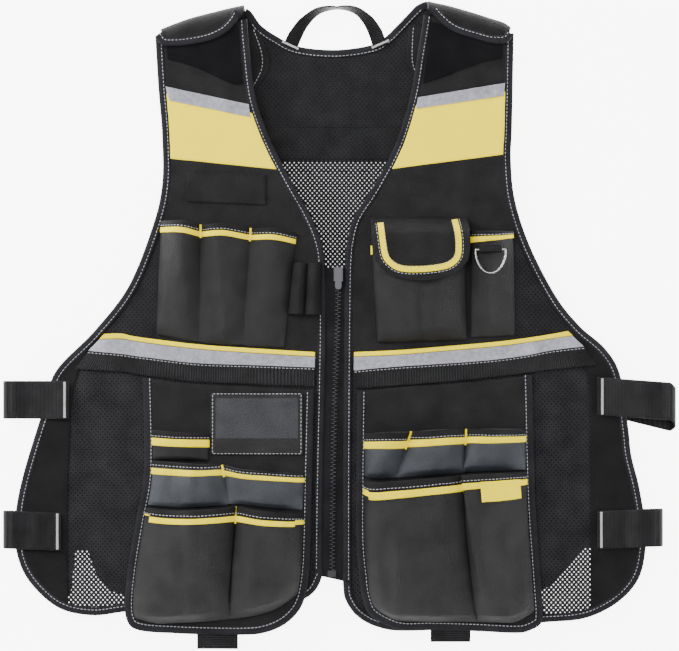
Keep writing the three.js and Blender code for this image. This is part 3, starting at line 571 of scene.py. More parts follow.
def sew(name, lines, finish, pitch=STITCH_PITCH, length=2.5, width=0.75, crosswise=False):
    """Stitches along lines of points: one short flattened capsule each, all joined in one mesh."""
    rings = np.array([-1, -0.6, 0.6, 1]) * length / 2
    radii = np.array([0.35, 1, 1, 0.35]) * width / 2
    turn = np.arange(6) * math.pi / 3
    middles, ways = [], []
    for line in lines:
        run = run_of(line)
        at = np.arange(pitch / 2, run[-1], pitch)
        middles.append(points_at(line, run, at))
        ways.append(points_at(line, run, at + AHEAD) - points_at(line, run, at - AHEAD))
    middle = np.concatenate(middles)
    way = unit(np.concatenate(ways))
    if crosswise:
        way = unit(np.stack([-way[:, 1], way[:, 0], np.zeros(len(way))], 1))
    side = unit(np.cross(way, np.array([0, 0, 1.0])))
    up = np.cross(side, way)
    shape = (
        middle[:, None, None] + way[:, None, None] * rings[None, :, None, None]
        + side[:, None, None] * (radii[:, None] * np.cos(turn))[None, ..., None]
        + STITCH_FLATNESS * up[:, None, None] * (radii[:, None] * np.sin(turn))[None, ..., None]
    )
    capsule = [
        [r * 6 + s, r * 6 + (s + 1) % 6, (r + 1) * 6 + (s + 1) % 6, (r + 1) * 6 + s]
        for r in range(3) for s in range(6)
    ]
    capsule += [[3, 2, 1, 0], [5, 4, 3, 0], [18, 19, 20, 21], [18, 21, 22, 23]]
    faces = (np.array(capsule)[None] + 24 * np.arange(len(middle))[:, None, None]).reshape(-1, 4)[:, ::-1]
    points = shape.reshape(-1, 3)
    obj = make_mesh(name, points, faces, points[:, :2], finish)
    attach(obj, BODY)
    return obj


def drawn_line(rows, inset, height, lift, start=0, stop=None):
    """A drawn line as points, lifted over the height of what it lies on."""
    p = edge(rows, start, stop, inset)(np.linspace(0, 1, 500))
    z = height(p[:, 0], p[:, 1]) + lift
    return np.concatenate([p, z[:, None]], 1)


def sheet_line(place, corners, lift):
    """A line over a sheet through corners given as shares of its width and height."""
    corners = np.array(corners, float)
    t = np.linspace(0, len(corners) - 1, 120 * (len(corners) - 1))
    u = np.interp(t, np.arange(len(corners)), corners[:, 0])
    v = np.interp(t, np.arange(len(corners)), corners[:, 1])
    u, v = u[None, :], v[None, :]
    return (place(u, v) + lift * facing(place, u, v))[0]


# Yarns crossing at right angles: the relief of woven cloth, tape and webbing.
yarns, given, put = shader_group(
    "crossed_yarns",
    [("Cut", "NodeSocketVector", None), ("Across", "NodeSocketFloat", 0.0012),
     ("Along", "NodeSocketFloat", 0.0012)],
    [("Weave", "NodeSocketFloat"), ("Ribs", "NodeSocketFloat")],
)
axes = yarns.nodes.new("ShaderNodeSeparateXYZ")
yarns.links.new(given["Cut"], axes.inputs[0])
FULL_TURN = 6.28318


def yarn_wave(tree, place, pitch):
    """Rises to 1 on each yarn and falls to -1 between two."""
    turns = tree_math(tree, "DIVIDE", place, pitch)
    return tree_math(tree, "SINE", tree_math(tree, "MULTIPLY", turns, FULL_TURN))


wave_x = yarn_wave(yarns, axes.outputs[0], given["Across"])
wave_y = yarn_wave(yarns, axes.outputs[1], given["Along"])
ribs = tree_math(yarns, "ADD", tree_math(yarns, "MULTIPLY", wave_y, 0.8),
                 tree_math(yarns, "MULTIPLY", wave_x, 0.2))
yarns.links.new(tree_math(yarns, "MULTIPLY", wave_x, wave_y), put["Weave"])
yarns.links.new(ribs, put["Ribs"])


def woven(name, slot, dark, light, roughness, across, along, depth, relief="Weave", fine=900.0, metallic=0.0,
          shine=0.2, groove_shade=0.3):
    """Cloth of crossed yarns: its two dyes, painted shade in the dips between its yarns, its roughness, and in
    metres the yarns' pitches and relief.
    """
    finish, tree, shader = new_finish(name, slot, roughness, metallic)
    shader.inputs["Specular IOR Level"].default_value = shine
    place = cut_place(tree)
    dye = placed_group(tree, uneven, Place=place, Dark=(*dark, 1), Light=(*light, 1), Fine=fine)
    lie = placed_group(tree, yarns, Cut=place, Across=across, Along=along)
    # Painted shade: where the yarns dip, the colour darkens towards four tenths of the dark dye
    low = tree_math(tree, "MULTIPLY", tree_math(tree, "SUBTRACT", 1.0, lie[relief]), groove_shade / 2, clamp=True)
    between = (dark[0] * 0.4, dark[1] * 0.4, dark[2] * 0.4, 1)
    tree.links.new(mixed(tree, low, dye["Color"], between), shader.inputs["Base Color"])
    raise_bump(tree, shader, tree_math(tree, "ADD", lie[relief], dye["Height"]), depth, 0.6)
    return finish


OXFORD = 0.0016
black_cloth = woven("black_oxford", "black_cloth", (0.006, 0.006, 0.0065), (0.022, 0.0215, 0.023), 0.7,
                    OXFORD, OXFORD, 0.0005)
pocket_cloth = woven("pocket_cloth", "black_cloth", (0.008, 0.008, 0.0085), (0.028, 0.0275, 0.029), 0.6,
                     OXFORD, OXFORD, 0.0005, shine=0.32)
wing_cloth = woven("wing_cloth", "black_cloth", (0.003, 0.003, 0.0035), (0.012, 0.012, 0.013), 0.75,
                   OXFORD, OXFORD, 0.0005)
bound_tape = woven("bound_tape", "binding", (0.006, 0.006, 0.008), (0.020, 0.020, 0.025), 0.65,
                   0.0009, 0.0014, 0.0003, "Ribs")
ribbed_web = woven("ribbed_webbing", "webbing", (0.003, 0.003, 0.0035), (0.034, 0.034, 0.038), 0.5,
                   0.0014, 0.0022, 0.0011, "Ribs", groove_shade=0.95)
grey_nylon = woven("grey_nylon", "nylon", (0.020, 0.023, 0.028), (0.068, 0.075, 0.090), 0.40,
                   0.0011, 0.0011, 0.0003, shine=0.5)
pile = woven("clinging_pile", "grip", (0.002, 0.002, 0.003), (0.010, 0.010, 0.012), 1.0,
             0.0011, 0.0013, 0.0014, fine=1600.0)
yellow_cloth = woven("yellow_cloth", "yellow_cloth", (0.93, 0.72, 0.0), (1.0, 0.80, 0.0), 0.9,
                     0.0012, 0.0012, 0.0003, shine=0.03, groove_shade=0.05)
yellow_tape = woven("yellow_tape", "yellow_cloth", (0.96, 0.74, 0.0), (1.0, 0.84, 0.0), 0.8,
                    0.0010, 0.0015, 0.0003, "Ribs", shine=0.03, groove_shade=0.12)
# Painted light: the yellow cloth and tape give off light of their own, which brightens them beyond what the lamps
# give
for dyed, painted_glow in ((yellow_cloth, 0.6), (yellow_tape, 0.3)):
    glowing_shader = dyed.node_tree.nodes["Principled BSDF"]
    glowing_shader.inputs["Emission Color"].default_value = (1.0, 0.78, 0.0, 1)
    glowing_shader.inputs["Emission Strength"].default_value = painted_glow
silver_tape = woven("silver_tape", "reflective", (0.42, 0.42, 0.48), (0.72, 0.72, 0.80), 0.36,
                    0.0008, 0.0008, 0.0006, fine=260.0, metallic=0.35)
zip_cloth = woven("zip_cloth", "zip_tape", (0.005, 0.005, 0.006), (0.018, 0.018, 0.020), 0.75,
                  0.0010, 0.0012, 0.0004)
pale_thread = woven("pale_thread", "binding", (0.40, 0.40, 0.42), (0.66, 0.66, 0.70), 0.6,
                    0.0004, 0.0004, 0.0001)
white_thread = woven("white_thread", "webbing", (0.60, 0.60, 0.60), (0.85, 0.85, 0.85), 0.6,
                     0.0004, 0.0004, 0.0001)
tooth_plastic = woven("tooth_plastic", "zip_plastic", (0.020, 0.020, 0.022), (0.060, 0.060, 0.064), 0.22,
                      0.0012, 0.0012, 0.0001)
slider_metal = woven("slider_metal", "zip_metal", (0.03, 0.03, 0.034), (0.085, 0.085, 0.092), 0.32,
                     0.0021, 0.0037, 0.0001, metallic=0.8)
nickel = woven("nickel", "ring", (0.30, 0.285, 0.27), (0.46, 0.44, 0.42), 0.26,
               0.0023, 0.0041, 0.0001, metallic=1.0)

tape_round("back_edge_binding", BACK_EDGE, BINDING / 2, height_on_floor, bound_tape, steps=420)
NECK_TAPE = (
    [(-97, 316), (-90, 318.3), (-84, 314.5), (-78.5, 306.5)] + BACK_NECK[1:-2]
    + [(61, 299.5), (73, 312), (82, 321), (91, 325), (98, 323)]
)
tape_round("back_neck_binding", NECK_TAPE, -BINDING / 2, height_on_floor, bound_tape, steps=160)
neck_stitches = drawn_line(NECK_TAPE[3:-2], -6.4, height_on_floor, BINDING_THICK / 2)
sew("back_neck_stitches", [neck_stitches], pale_thread)
YOKE_SEAMS = [
    [(-150, 202), (0, 199), (150, 202)],
    [(-150, 167), (0, 167), (150, 167)],
    [(-150, 155), (0, 155), (150, 155)],
]
sew("back_yoke_seam", [drawn_line(rows, 0, height_on_floor, 0.9) for rows in YOKE_SEAMS], bound_tape)


# The front: two halves that bow up over the hollow of the body, highest along the zip. Each layer
# sewn on it takes the same height, so that its folds run through all of them.
SPAN = 660
LENGTH = 650
CAVITY = 26
EDGE_RISE = 6
BACK_CLOTH = 2
CLOTH = 1.6
SEAM = 0.5
SLACK_HEIGHT = 0.9
FOLD_HEIGHT = 0.9
CREASE_HEIGHT = 0.35


def front_height(x, y):
    """How high the front's cloth lies over the floor, with its slack, folds and creases."""
    x, y = np.asarray(x, float), np.asarray(y, float)
    side = x / (1.05 * SPAN / 2)
    along = y / (LENGTH / 2)
    dome = np.maximum(0, 1 - side**2) * (1 - 0.4 * along**2)
    slack = SLACK_HEIGHT * np.sin(x / 19 + y / 41) * dome
    folds = FOLD_HEIGHT * crumple(x + 0.7 * np.abs(y), 0.45 * (y - 0.6 * x), 26, 1)
    creases = CREASE_HEIGHT * crumple(x, y, 12, 2)
    return EDGE_RISE + (CAVITY - EDGE_RISE + BACK_CLOTH) * dome + slack + folds + creases


def on_front(plan, rise=0.0, relief=None):
    """A plan laid on the front's cloth and raised over it."""
    def at(u, v):
        p = plan(u, v)
        z = front_height(p[..., 0], p[..., 1]) + rise
        if relief is not None:
            z = z + relief(u, v, p)
        return np.concatenate([p, z[..., None]], -1)
    return at


def bound_height(x, y):
    return front_height(x, y) + CLOTH / 2


RIGHT_EDGE = [
    (-180, 289), (-177, 240), (-173, 190), (-173, 140), (-183, 97), (-207, 38), (-241, -6),
    (-279, -45), (-291, -80), (-313, -151), (-321, -195), (-319, -230), (-306, -258),
    (-278, -283), (-244, -291), (-209, -287), (-155, -281), (-85, -279), (-41, -277),
    (-22, -268), (-13, -252),
]
LEFT_EDGE = [
    (179, 292), (178, 240), (177, 195), (176, 165), (180, 125), (195, 79), (221, 29), (245, -1),
    (271, -24), (286, -51), (294, -103), (297, -130), (305, -162), (311, -200), (311, -230),
    (303, -257), (282, -279), (250, -294), (208, -298), (140, -303), (70, -306), (42, -302),
    (22, -291), (10.5, -275), (8, -260),
]
RIGHT_FRONT = [
    (-88, 306), (-85, 272), (-79, 226), (-64, 184), (-44, 145), (-27, 115), (-15, 88),
    (-10, 60), (-9, 0), (-10, -66), (-12, -160), (-13, -246),
]
LEFT_FRONT = [
    (89, 310), (83, 274), (75, 228), (60, 180), (38, 138), (20, 110), (13, 88),
    (10, 60), (9, 0), (8.5, -66), (8, -160), (8, -257),
]
CHEST_SIDE_RIGHT = [(-180, -34), (-177.5, 30), (-175.5, 82), (-174, 108), (-168.5, 138), (-168.5, 171)]
SIDE_RIGHT = [(-176, -30), (-174, 30), (-171, 74), (-169, 104)]
STRIP_RIGHT = [(-270, -283), (-271, -229), (-270, -145), (-264, -62), (-244, -16)]
FOOT_RIGHT = [(-31, -266), (-22, -256), (-18, -240), (-17, -160), (-15, -66), (-14, -16.5)]
STRIP_OUT_RIGHT = [(-267, -283), (-268, -229), (-267, -145), (-261, -62), (-241, -14)]
CHEST_SIDE_LEFT = [(181, -34), (180, 30), (179.5, 80), (178.5, 104), (175, 125), (172.5, 174)]
SIDE_LEFT = [(177, -30), (176, 30), (175, 76), (174.5, 108)]
STRIP_LEFT = [(259.5, -287), (259, -220), (259, -130), (257, -62), (243, -12)]
FOOT_LEFT = [(27, -288), (16, -272), (12.8, -250), (12.6, -160), (13.2, -66), (13.8, -16.5)]
STRIP_OUT_LEFT = [(256.5, -287), (256, -220), (256, -130), (254, -62), (240, -10)]
wing_right = patch(edge(STRIP_RIGHT), edge(FOOT_RIGHT), edge(RIGHT_EDGE, 13.3, 18.8, TUCK))
wing_left = patch(edge(FOOT_LEFT), edge(STRIP_LEFT), edge(LEFT_EDGE, 22, 16.65, -TUCK))
YELLOW_INSET = 6.5
FRONT_PANELS = [
    ("front_yoke_right", 22, 20, black_cloth,
     patch(edge(RIGHT_EDGE, 1.24, 0, TUCK), edge(RIGHT_FRONT, 2.35, 0, -TUCK))),
    ("yellow_panel_right", 26, 18, yellow_cloth,
     patch(edge(RIGHT_EDGE, 2.47, 1.175, YELLOW_INSET), edge(RIGHT_FRONT, 3.64, 2.285, -YELLOW_INSET))),
    ("chest_panel_right", 36, 44, black_cloth,
     patch(edge(CHEST_SIDE_RIGHT), edge(RIGHT_FRONT, 8.62, 3.5, -TUCK))),
    ("side_mesh_right", 14, 26, double_net,
     patch(edge(RIGHT_EDGE, 6.4, 3.9, TUCK), edge(SIDE_RIGHT))),
    ("wing_mesh_right", 60, 60, wing_net, wing_right),
    ("wing_edge_strip_right", 10, 60, wing_cloth,
     patch(edge(RIGHT_EDGE, 13.25, 6.25, TUCK), edge(STRIP_OUT_RIGHT))),
    ("front_yoke_left", 22, 20, black_cloth,
     patch(edge(LEFT_FRONT, 2.2, 0, TUCK), edge(LEFT_EDGE, 1.19, 0, -TUCK))),
    ("yellow_panel_left", 26, 18, yellow_cloth,
     patch(edge(LEFT_FRONT, 3.48, 2.14, YELLOW_INSET), edge(LEFT_EDGE, 2.83, 1.125, -YELLOW_INSET))),
    ("chest_panel_left", 36, 44, black_cloth,
     patch(edge(LEFT_FRONT, 8.62, 3.35, TUCK), edge(CHEST_SIDE_LEFT))),
    ("side_mesh_left", 14, 26, double_net,
     patch(edge(SIDE_LEFT), edge(LEFT_EDGE, 7.6, 4.4, -TUCK))),
    ("wing_mesh_left", 60, 60, wing_net, wing_left),
    ("wing_edge_strip_left", 10, 60, wing_cloth,
     patch(edge(STRIP_OUT_LEFT), edge(LEFT_EDGE, 16.7, 7.25, -TUCK))),
]
UNDER_THE_CHEST = -0.9
OVER_THE_CHEST = 0.35
MESH_THICK = 0.7
for name, columns, rows, finish, plan in FRONT_PANELS:
    if finish in (wing_net, double_net):
        cloth(name, on_front(plan, UNDER_THE_CHEST), columns, rows, MESH_THICK, finish)
    else:
        rise = OVER_THE_CHEST if finish is yellow_cloth else 0.0
        cloth(name, on_front(plan, rise), columns, rows, CLOTH, finish)

# Painted shade: a near-black sheet of mesh lies under each wing, but for the corner by the outer hem, and darkens
# the wing's holes as the shade under the lifted wing would. The tables hold the share of the width from the outer
# side, and how high above the hem the dark sheet starts.
OPEN_CORNER_RIGHT = [
    (0, 0.05), (0.035, 0.12), (0.065, 0.38), (0.15, 0.21), (0.25, 0.12), (0.4, 0.05), (0.5, 0),
]
OPEN_CORNER_LEFT = [(0, 0.28), (0.12, 0.21), (0.24, 0.14), (0.4, 0.05), (0.5, 0)]


def shaded_part(plan, corner, outer_first):
    share, height = np.array(corner).T

    def at(u, v):
        low = np.interp(u if outer_first else 1 - u, share, height)
        return plan(u, low + (1 - low) * v)

    return at


BEHIND_THE_WING = -2.0
shade_sheet_right = shaded_part(wing_right, OPEN_CORNER_RIGHT, True)
shade_sheet_left = shaded_part(wing_left, OPEN_CORNER_LEFT, False)
# Painted shade: near-black sheets of mesh under the wings darken the wings' holes
cloth("wing_lining_right", on_front(shade_sheet_right, BEHIND_THE_WING), 90, 40, MESH_THICK, wing_shade_net)
cloth("wing_lining_left", on_front(shade_sheet_left, BEHIND_THE_WING), 90, 40, MESH_THICK, wing_shade_net)

tape_round("edge_binding_right", RIGHT_EDGE + [(-13, -238)], BINDING / 2, bound_height, bound_tape, steps=420)
tape_round("edge_binding_left", LEFT_EDGE + [(8, -246)], -BINDING / 2, bound_height, bound_tape, steps=420)
tape_round("front_binding_right", RIGHT_FRONT, -BINDING / 2, bound_height, bound_tape)
tape_round("front_binding_left", LEFT_FRONT, BINDING / 2, bound_height, bound_tape)
SEWN_IN = 5.6
BOUND_EDGES = [(RIGHT_EDGE, SEWN_IN), (LEFT_EDGE, -SEWN_IN), (RIGHT_FRONT, -SEWN_IN), (LEFT_FRONT, SEWN_IN)]
sew("edge_stitches", [drawn_line(rows, inset, bound_height, 1.5) for rows, inset in BOUND_EDGES], pale_thread)
STRIP_EDGES = [(STRIP_OUT_RIGHT, 1.5), (STRIP_OUT_LEFT, -1.5)]
sew("wing_strip_stitches",
    [drawn_line(rows, inset, front_height, CLOTH + 0.1) for rows, inset in STRIP_EDGES], bound_tape)


# Tapes on the front: a silver tape over each yellow chest panel, pile patches under the shoulder
# flaps, a blank patch, and round the waist a yellow and silver band over a ribbed belt.
TRIM = 1.1
ON_FRONT = CLOTH + SEAM
ON_TRIM = ON_FRONT + TRIM + SEAM


def puckers(u, v, p):
    """Sewing draws the stiff silver tape into short waves."""
    return 0.35 * np.abs(np.sin(u * 17)) + 1.0 * crumple(p[..., 0], 0.35 * p[..., 1], 6, 4)


tape_plans = [
    ("silver_tape_right", quad((-166, 224.5), (-84.5, 207.5), (-169.5, 238.5), (-86, 220.5))),
    ("silver_tape_left", quad((81, 216), (169, 229), (83, 227.5), (170, 242))),
]
tape_stitches = []
for name, plan in tape_plans:
    place = on_front(plan, ON_FRONT, puckers)
    cloth(name, place, 50, 8, TRIM, silver_tape)
    tape_stitches += [sheet_line(place, [(0, v), (1, v)], TRIM) for v in (0.12, 0.88)]


def once_round(u, v):
    """A line once round a sheet, in from its edges by these shares of its width and length."""
    return [(u, v), (1 - u, v), (1 - u, 1 - v), (u, 1 - v), (u, v)]


grip_right = patch(edge([(-167.5, 266), (-169.5, 286)]), edge([(-92.5, 241), (-97, 300)]),
                   edge([(-167.5, 266), (-140, 258), (-105, 242), (-92.5, 241)]))
grip_left = patch(edge([(88, 241), (96, 303)]), edge([(167, 267), (168, 289)]),
                  edge([(88, 241), (104, 247), (148, 263), (167, 267)]))
cloth("grip_patch_right", on_front(grip_right, ON_FRONT), 24, 14, TRIM, pile)
cloth("grip_patch_left", on_front(grip_left, ON_FRONT), 24, 14, TRIM, pile)
blank_place = on_front(quad((-148, 123), (-69, 120), (-148, 154), (-69, 150)), ON_FRONT)
cloth("blank_patch", blank_place, 24, 10, TRIM, black_cloth)
sew("blank_patch_stitches", [sheet_line(blank_place, once_round(0.02, 0.05), TRIM)], bound_tape)

# Each row: how far across, then how far up are the top of the yellow, the top of the silver, the top
# of the belt and the belt's foot
WAIST_RIGHT = [
    (-231, -9, -15, -27.5, -45.5), (-214, -8.5, -14, -29.5, -47.5), (-196, -12, -17, -32, -50),
    (-140, -19, -24, -38.5, -57), (-86, -23, -28, -40.5, -59.5), (-20, -27, -32, -43, -62),
]
WAIST_LEFT = [
    (19, -27, -32, -46, -64), (63, -25, -30, -42, -61), (113, -21, -26, -39, -57),
    (162, -16.6, -21.6, -35, -52), (191, -13, -18, -31, -48.5), (217, -9, -14, -26, -45),
    (233, -6, -11, -23, -42),
]
# How much farther out each of these lines ends than the yellow's top
WAIST_REACH = (0, 5, 16, 29)


def waist_line(rows, column, end):
    line = [(row[0], row[column]) for row in rows]
    x, y = line[end]
    line[end] = (x + math.copysign(WAIST_REACH[column - 1], x), y + (1 if column > 2 else 0))
    return line


def waist_strip(rows, top, low, end):
    upper = waist_line(rows, top, end)
    lower = [(x, y + SEAM) for x, y in waist_line(rows, low, end)]
    return patch(edge([lower[0], upper[0]]), edge([lower[-1], upper[-1]]), edge(lower), edge(upper))


for half, rows, end in (("right", WAIST_RIGHT, 0), ("left", WAIST_LEFT, len(WAIST_LEFT) - 1)):
    yellow = on_front(waist_strip(rows, 1, 2, end), ON_FRONT)
    silver = on_front(waist_strip(rows, 2, 3, end), ON_FRONT, puckers)
    belt = on_front(waist_strip(rows, 3, 4, end), ON_FRONT)
    cloth("waist_yellow_" + half, yellow, 80, 3, TRIM, yellow_tape, ribbed=True)
    cloth("waist_band_" + half, silver, 90, 8, TRIM, silver_tape)
    cloth("waist_belt_" + half, belt, 80, 8, TRIM, ribbed_web, ribbed=True)
    tape_stitches += [sheet_line(silver, [(0, v), (1, v)], TRIM) for v in (0.1, 0.9)]
    tape_stitches.append(sheet_line(belt, [(0, 0.9), (1, 0.9)], TRIM))
sew("tape_stitches", tape_stitches, pale_thread)


# Shoulder flaps: padded cloth that comes over from the back, folds at the shoulder and closes on
# the pile. Leaf-shaped tabs line the back beside the neck, and a webbing loop hangs the vest.
PAD = 2.6
FLAP_UNDER = 17.3
# Shares of a flap's length: over the shoulder, round its fold and back under
TOP_SHARE = 0.4
ROUND_SHARE = 0.4
UNDER_SHARE = 0.2
# Each row: a point of the flap's front edge, and the point of the fold behind it
FLAP_RIGHT = [
    (-180, 288, -174, 294), (-173, 280, -167, 297), (-157, 279, -151, 303), (-140, 281, -138, 307),
    (-123, 285, -122, 311), (-109, 292, -108, 314.5), (-100, 301, -97, 317), (-94, 311, -90.5, 318),
]
FLAP_LEFT = [
    (96, 313, 92.5, 322.3), (105, 303, 100, 320.5), (115, 295, 110, 318.5), (126, 290, 123, 315),
    (141, 285.5, 140, 310), (157, 281.5, 154, 305.5), (172, 282.5, 168, 301), (178, 289, 175, 296),
]


def shoulder_flap(rows):
    front = edge([row[:2] for row in rows])
    fold = edge([row[2:] for row in rows])

    def at(u, v):
        f, o = front(u), fold(u)
        top = front_height(o[..., 0], o[..., 1]) + ON_TRIM
        low = PAD + 0.2
        bend = np.minimum((top - low) / 2, 0.75 * (o[..., 1] - f[..., 1]))
        w = np.clip(v / TOP_SHARE, 0, 1)
        x = f[..., 0] * (1 - w) + o[..., 0] * w
        top_y = f[..., 1] * (1 - w) + (o[..., 1] - bend) * w
        top_z = (front_height(x, top_y) + ON_TRIM) * (1 - w) + top * w
        turn = np.pi * np.clip((v - TOP_SHARE) / ROUND_SHARE, 0, 1)
        round_y = o[..., 1] - bend + bend * np.sin(turn)
        round_z = (top + low + (top - low) * np.cos(turn)) / 2
        round_end = TOP_SHARE + ROUND_SHARE
        under_y = o[..., 1] - bend - (v - round_end) / UNDER_SHARE * (FLAP_UNDER - bend)
        y = np.where(v <= TOP_SHARE, top_y, np.where(v <= round_end, round_y, under_y))
        z = np.where(v <= TOP_SHARE, top_z, np.where(v <= round_end, round_z, low))
        return np.stack([x, y, z], -1)

    return at


flap_lines = []
for name, rows in (("shoulder_flap_right", FLAP_RIGHT), ("shoulder_flap_left", FLAP_LEFT)):
    place = shoulder_flap(rows)
    cloth(name, place, 40, 50, PAD, black_cloth, ribbed=True)
    tape_round(name + "_tape", [row[:2] for row in rows], BINDING / 2,
               lambda x, y: front_height(x, y) + ON_TRIM + PAD / 2, bound_tape, thick=PAD + 1.4, steps=120)
    flap_lines.append(drawn_line([row[:2] for row in rows], 6.0, front_height, ON_TRIM + PAD + 0.6))
sew("shoulder_flap_stitches", flap_lines, pale_thread)


def at_height(plan, z):
    """A plan laid level at one height."""
    def at(u, v):
        p = plan(u, v)
        return np.concatenate([p, np.full(p.shape[:-1] + (1,), z)], -1)
    return at


LEAF_HEIGHT = BINDING_THICK + 0.25
leaf_right = at_height(patch(edge([(-99, 241), (-102, 270), (-97, 296)]),
                             edge([(-80, 236), (-67, 256), (-67, 271), (-78, 297)])), LEAF_HEIGHT)
leaf_left = at_height(patch(edge([(80, 248), (73, 262), (72, 271), (74.5, 301)]),
                            edge([(97, 246), (100, 270), (96, 300)])), LEAF_HEIGHT)
cloth("shoulder_tab_right", leaf_right, 12, 24, CLOTH, black_cloth)
cloth("shoulder_tab_left", leaf_left, 12, 24, CLOTH, black_cloth)
sew("shoulder_tab_stitches", [sheet_line(leaf_right, [(0.8, 0.03), (0.8, 0.97)], CLOTH),
                              sheet_line(leaf_left, [(0.2, 0.03), (0.2, 0.97)], CLOTH)], pale_thread)

STRAP_THICK = 1.5
# Each row: the inner side's place across and up, the width seen, and the heights of both sides
LOOP = np.array([
    (-38.5, 276, 14.5, 4.9, 4.9), (-34, 287, 14, 4.9, 5.6), (-27, 300, 11, 5, 8), (-15, 312, 6, 5, 13),
    (2, 316.5, 1.2, 4.6, 17), (18, 313, 6, 5, 13), (28, 303, 11, 5, 8), (34, 291, 14, 4.9, 5.6),
    (38.5, 277, 14.5, 4.9, 4.9),
])


def hang_loop(u, v):
    at = edge(LOOP[:, :2].tolist())
    ahead = at(np.minimum(v + 1e-3, 1)) - at(np.maximum(v - 1e-3, 0))
    ahead /= np.linalg.norm(ahead, axis=-1, keepdims=True)
    place = v * (len(LOOP) - 1)
    stand, low, high = (np.interp(place, np.arange(len(LOOP)), LOOP[:, k]) for k in (2, 3, 4))
    p = at(v) + np.stack([-ahead[..., 1], ahead[..., 0]], -1) * (stand * u)[..., None]
    return np.concatenate([p, (low + (high - low) * u)[..., None]], -1)


cloth("hang_loop", hang_loop, 8, 70, STRAP_THICK, ribbed_web, ribbed=True)
LOOP_TOP = 6.9
loop_tacks = [
    drawn_line(rows, 0, lambda x, y: 0 * x, LOOP_TOP)
    for rows in ([(-53, 284.6), (-37, 277.2)], [(37, 278.2), (54, 285.8)])
]
sew("hang_loop_tacks", loop_tacks, white_thread, pitch=0.9, length=2.4, crosswise=True)


# Side straps: flat webbing sewn to the edge of each wing, folded round and run back inside.
STRAP_WIDTH = 38
STRAP_TAIL = 205
STRAP_WAVE = 0.9
STRAP_WAVES = 5
STRAP_BEND = 4.0
STRAP_TACKED = 10
STRAP_SEAM = 0.035
# Shares of a strap's length: out to its fold, round it and back inside
OUT_SHARE = 0.5
FOLD_SHARE = 0.25
BACK_SHARE = 0.25
# Each row: the side, how far out the fold and the seam are, how far up they are, and how far the
# run inside hangs below the one outside
STRAPS = [
    ("strap_upper_right", -1, 333, 266, -75, -75, 0),
    ("strap_lower_right", -1, 333, 274, -205, -207, 0),
    ("strap_upper_left", 1, 342, 262, -77, -71, 12),
    ("strap_lower_left", 1, 329, 262, -203, -205, 0),
]


def side_strap(way, fold, seam, up_fold, up_seam, drop):
    def at(u, v):
        low = BINDING_THICK + SEAM + STRAP_THICK
        over = BINDING_THICK + 1.2
        end_height = front_height(way * (fold - STRAP_BEND), up_fold) + over
        far = fold - STRAP_BEND - STRAP_THICK
        fold_end = OUT_SHARE + FOLD_SHARE
        out = np.clip(v / OUT_SHARE, 0, 1)
        folded = np.clip((v - OUT_SHARE) / FOLD_SHARE, 0, 1)
        turn = np.pi * folded
        out_x = seam + (far - seam) * out
        fold_x = far + STRAP_BEND * np.sin(turn)
        back_x = far + (STRAP_TAIL - far) * (v - fold_end) / BACK_SHARE
        x = np.where(v <= OUT_SHARE, out_x, np.where(v <= fold_end, fold_x, back_x))
        out_z = front_height(way * out_x, up_fold) * (1 - out**4) + (end_height - over) * out**4 + over
        fold_z = (end_height + low + (end_height - low) * np.cos(turn)) / 2
        z = np.where(v <= OUT_SHARE, out_z, np.where(v <= fold_end, fold_z, low))
        wave = STRAP_WAVE * np.sin(STRAP_WAVES * np.pi * v / OUT_SHARE)
        z = z + wave * np.where(v < OUT_SHARE, (v / OUT_SHARE) ** 2, 0)
        y = up_seam + (up_fold - up_seam) * (x - seam) / (fold - seam) + way * (u - 0.5) * -STRAP_WIDTH
        y = y - drop * folded * np.clip((x - seam - STRAP_TACKED) / (fold - seam - STRAP_TACKED), 0, 1)
        return np.stack([way * x, y, z], -1)
    return at


tack_lines = []
for name, *shape in STRAPS:
    place = side_strap(*shape)
    cloth(name, place, 14, 110, STRAP_THICK, ribbed_web, ribbed=True)
    tack_lines.append(sheet_line(place, [(0.03, STRAP_SEAM), (0.97, STRAP_SEAM)], STRAP_THICK + 0.2))
sew("strap_tacks", tack_lines, white_thread, pitch=0.9, length=2.6, crosswise=True)


# Zip: two woven tapes under the front edges, a chain of moulded teeth, slider, pull and bottom box.
ZIP_LINE = [(3.4, 62), (2.6, 0), (0, -66), (-2, -160), (-3, -250)]
zip_between = patch(edge(RIGHT_FRONT, 10.98, 7.05, -TUCK), edge(LEFT_FRONT, 10.9, 7.05, TUCK))
# The tape runs this much farther down than the bindings beside it
ZIP_FOOT = 5.5


def zip_plan(u, v):
    below = ZIP_FOOT * np.clip(1 - np.asarray(v) / 0.06, 0, 1)
    return zip_between(u, v) - np.stack([0 * below, below], -1)


cloth("zip_tape", on_front(zip_plan, -0.6), 8, 120, TRIM, zip_cloth)
TOOTH_PITCH = 1.95
TOOTH = (3.4, 1.35, 1.9)
TOOTH_CROWN = 0.62
STAGGER = 1.1
chain_line = drawn_line(ZIP_LINE, 0, front_height, 1.9, 0.12, 3.9)
chain_run = run_of(chain_line)
stations = np.arange(0, chain_run[-1], TOOTH_PITCH)
teeth_at = points_at(chain_line, chain_run, stations)
tooth = np.array([
    (across, along, up) for up in (0, 0.75, 1) for across, along in ((-1, -1), (1, -1), (1, 1), (-1, 1))
], float)
tooth[8:, :2] *= TOOTH_CROWN
tooth *= np.array([TOOTH[0] / 2, TOOTH[1] / 2, TOOTH[2]])
stagger = np.where(np.arange(len(stations)) % 2, STAGGER, -STAGGER)
teeth = teeth_at[:, None] + tooth[None] + np.stack([stagger, 0 * stagger, 0 * stagger], 1)[:, None]
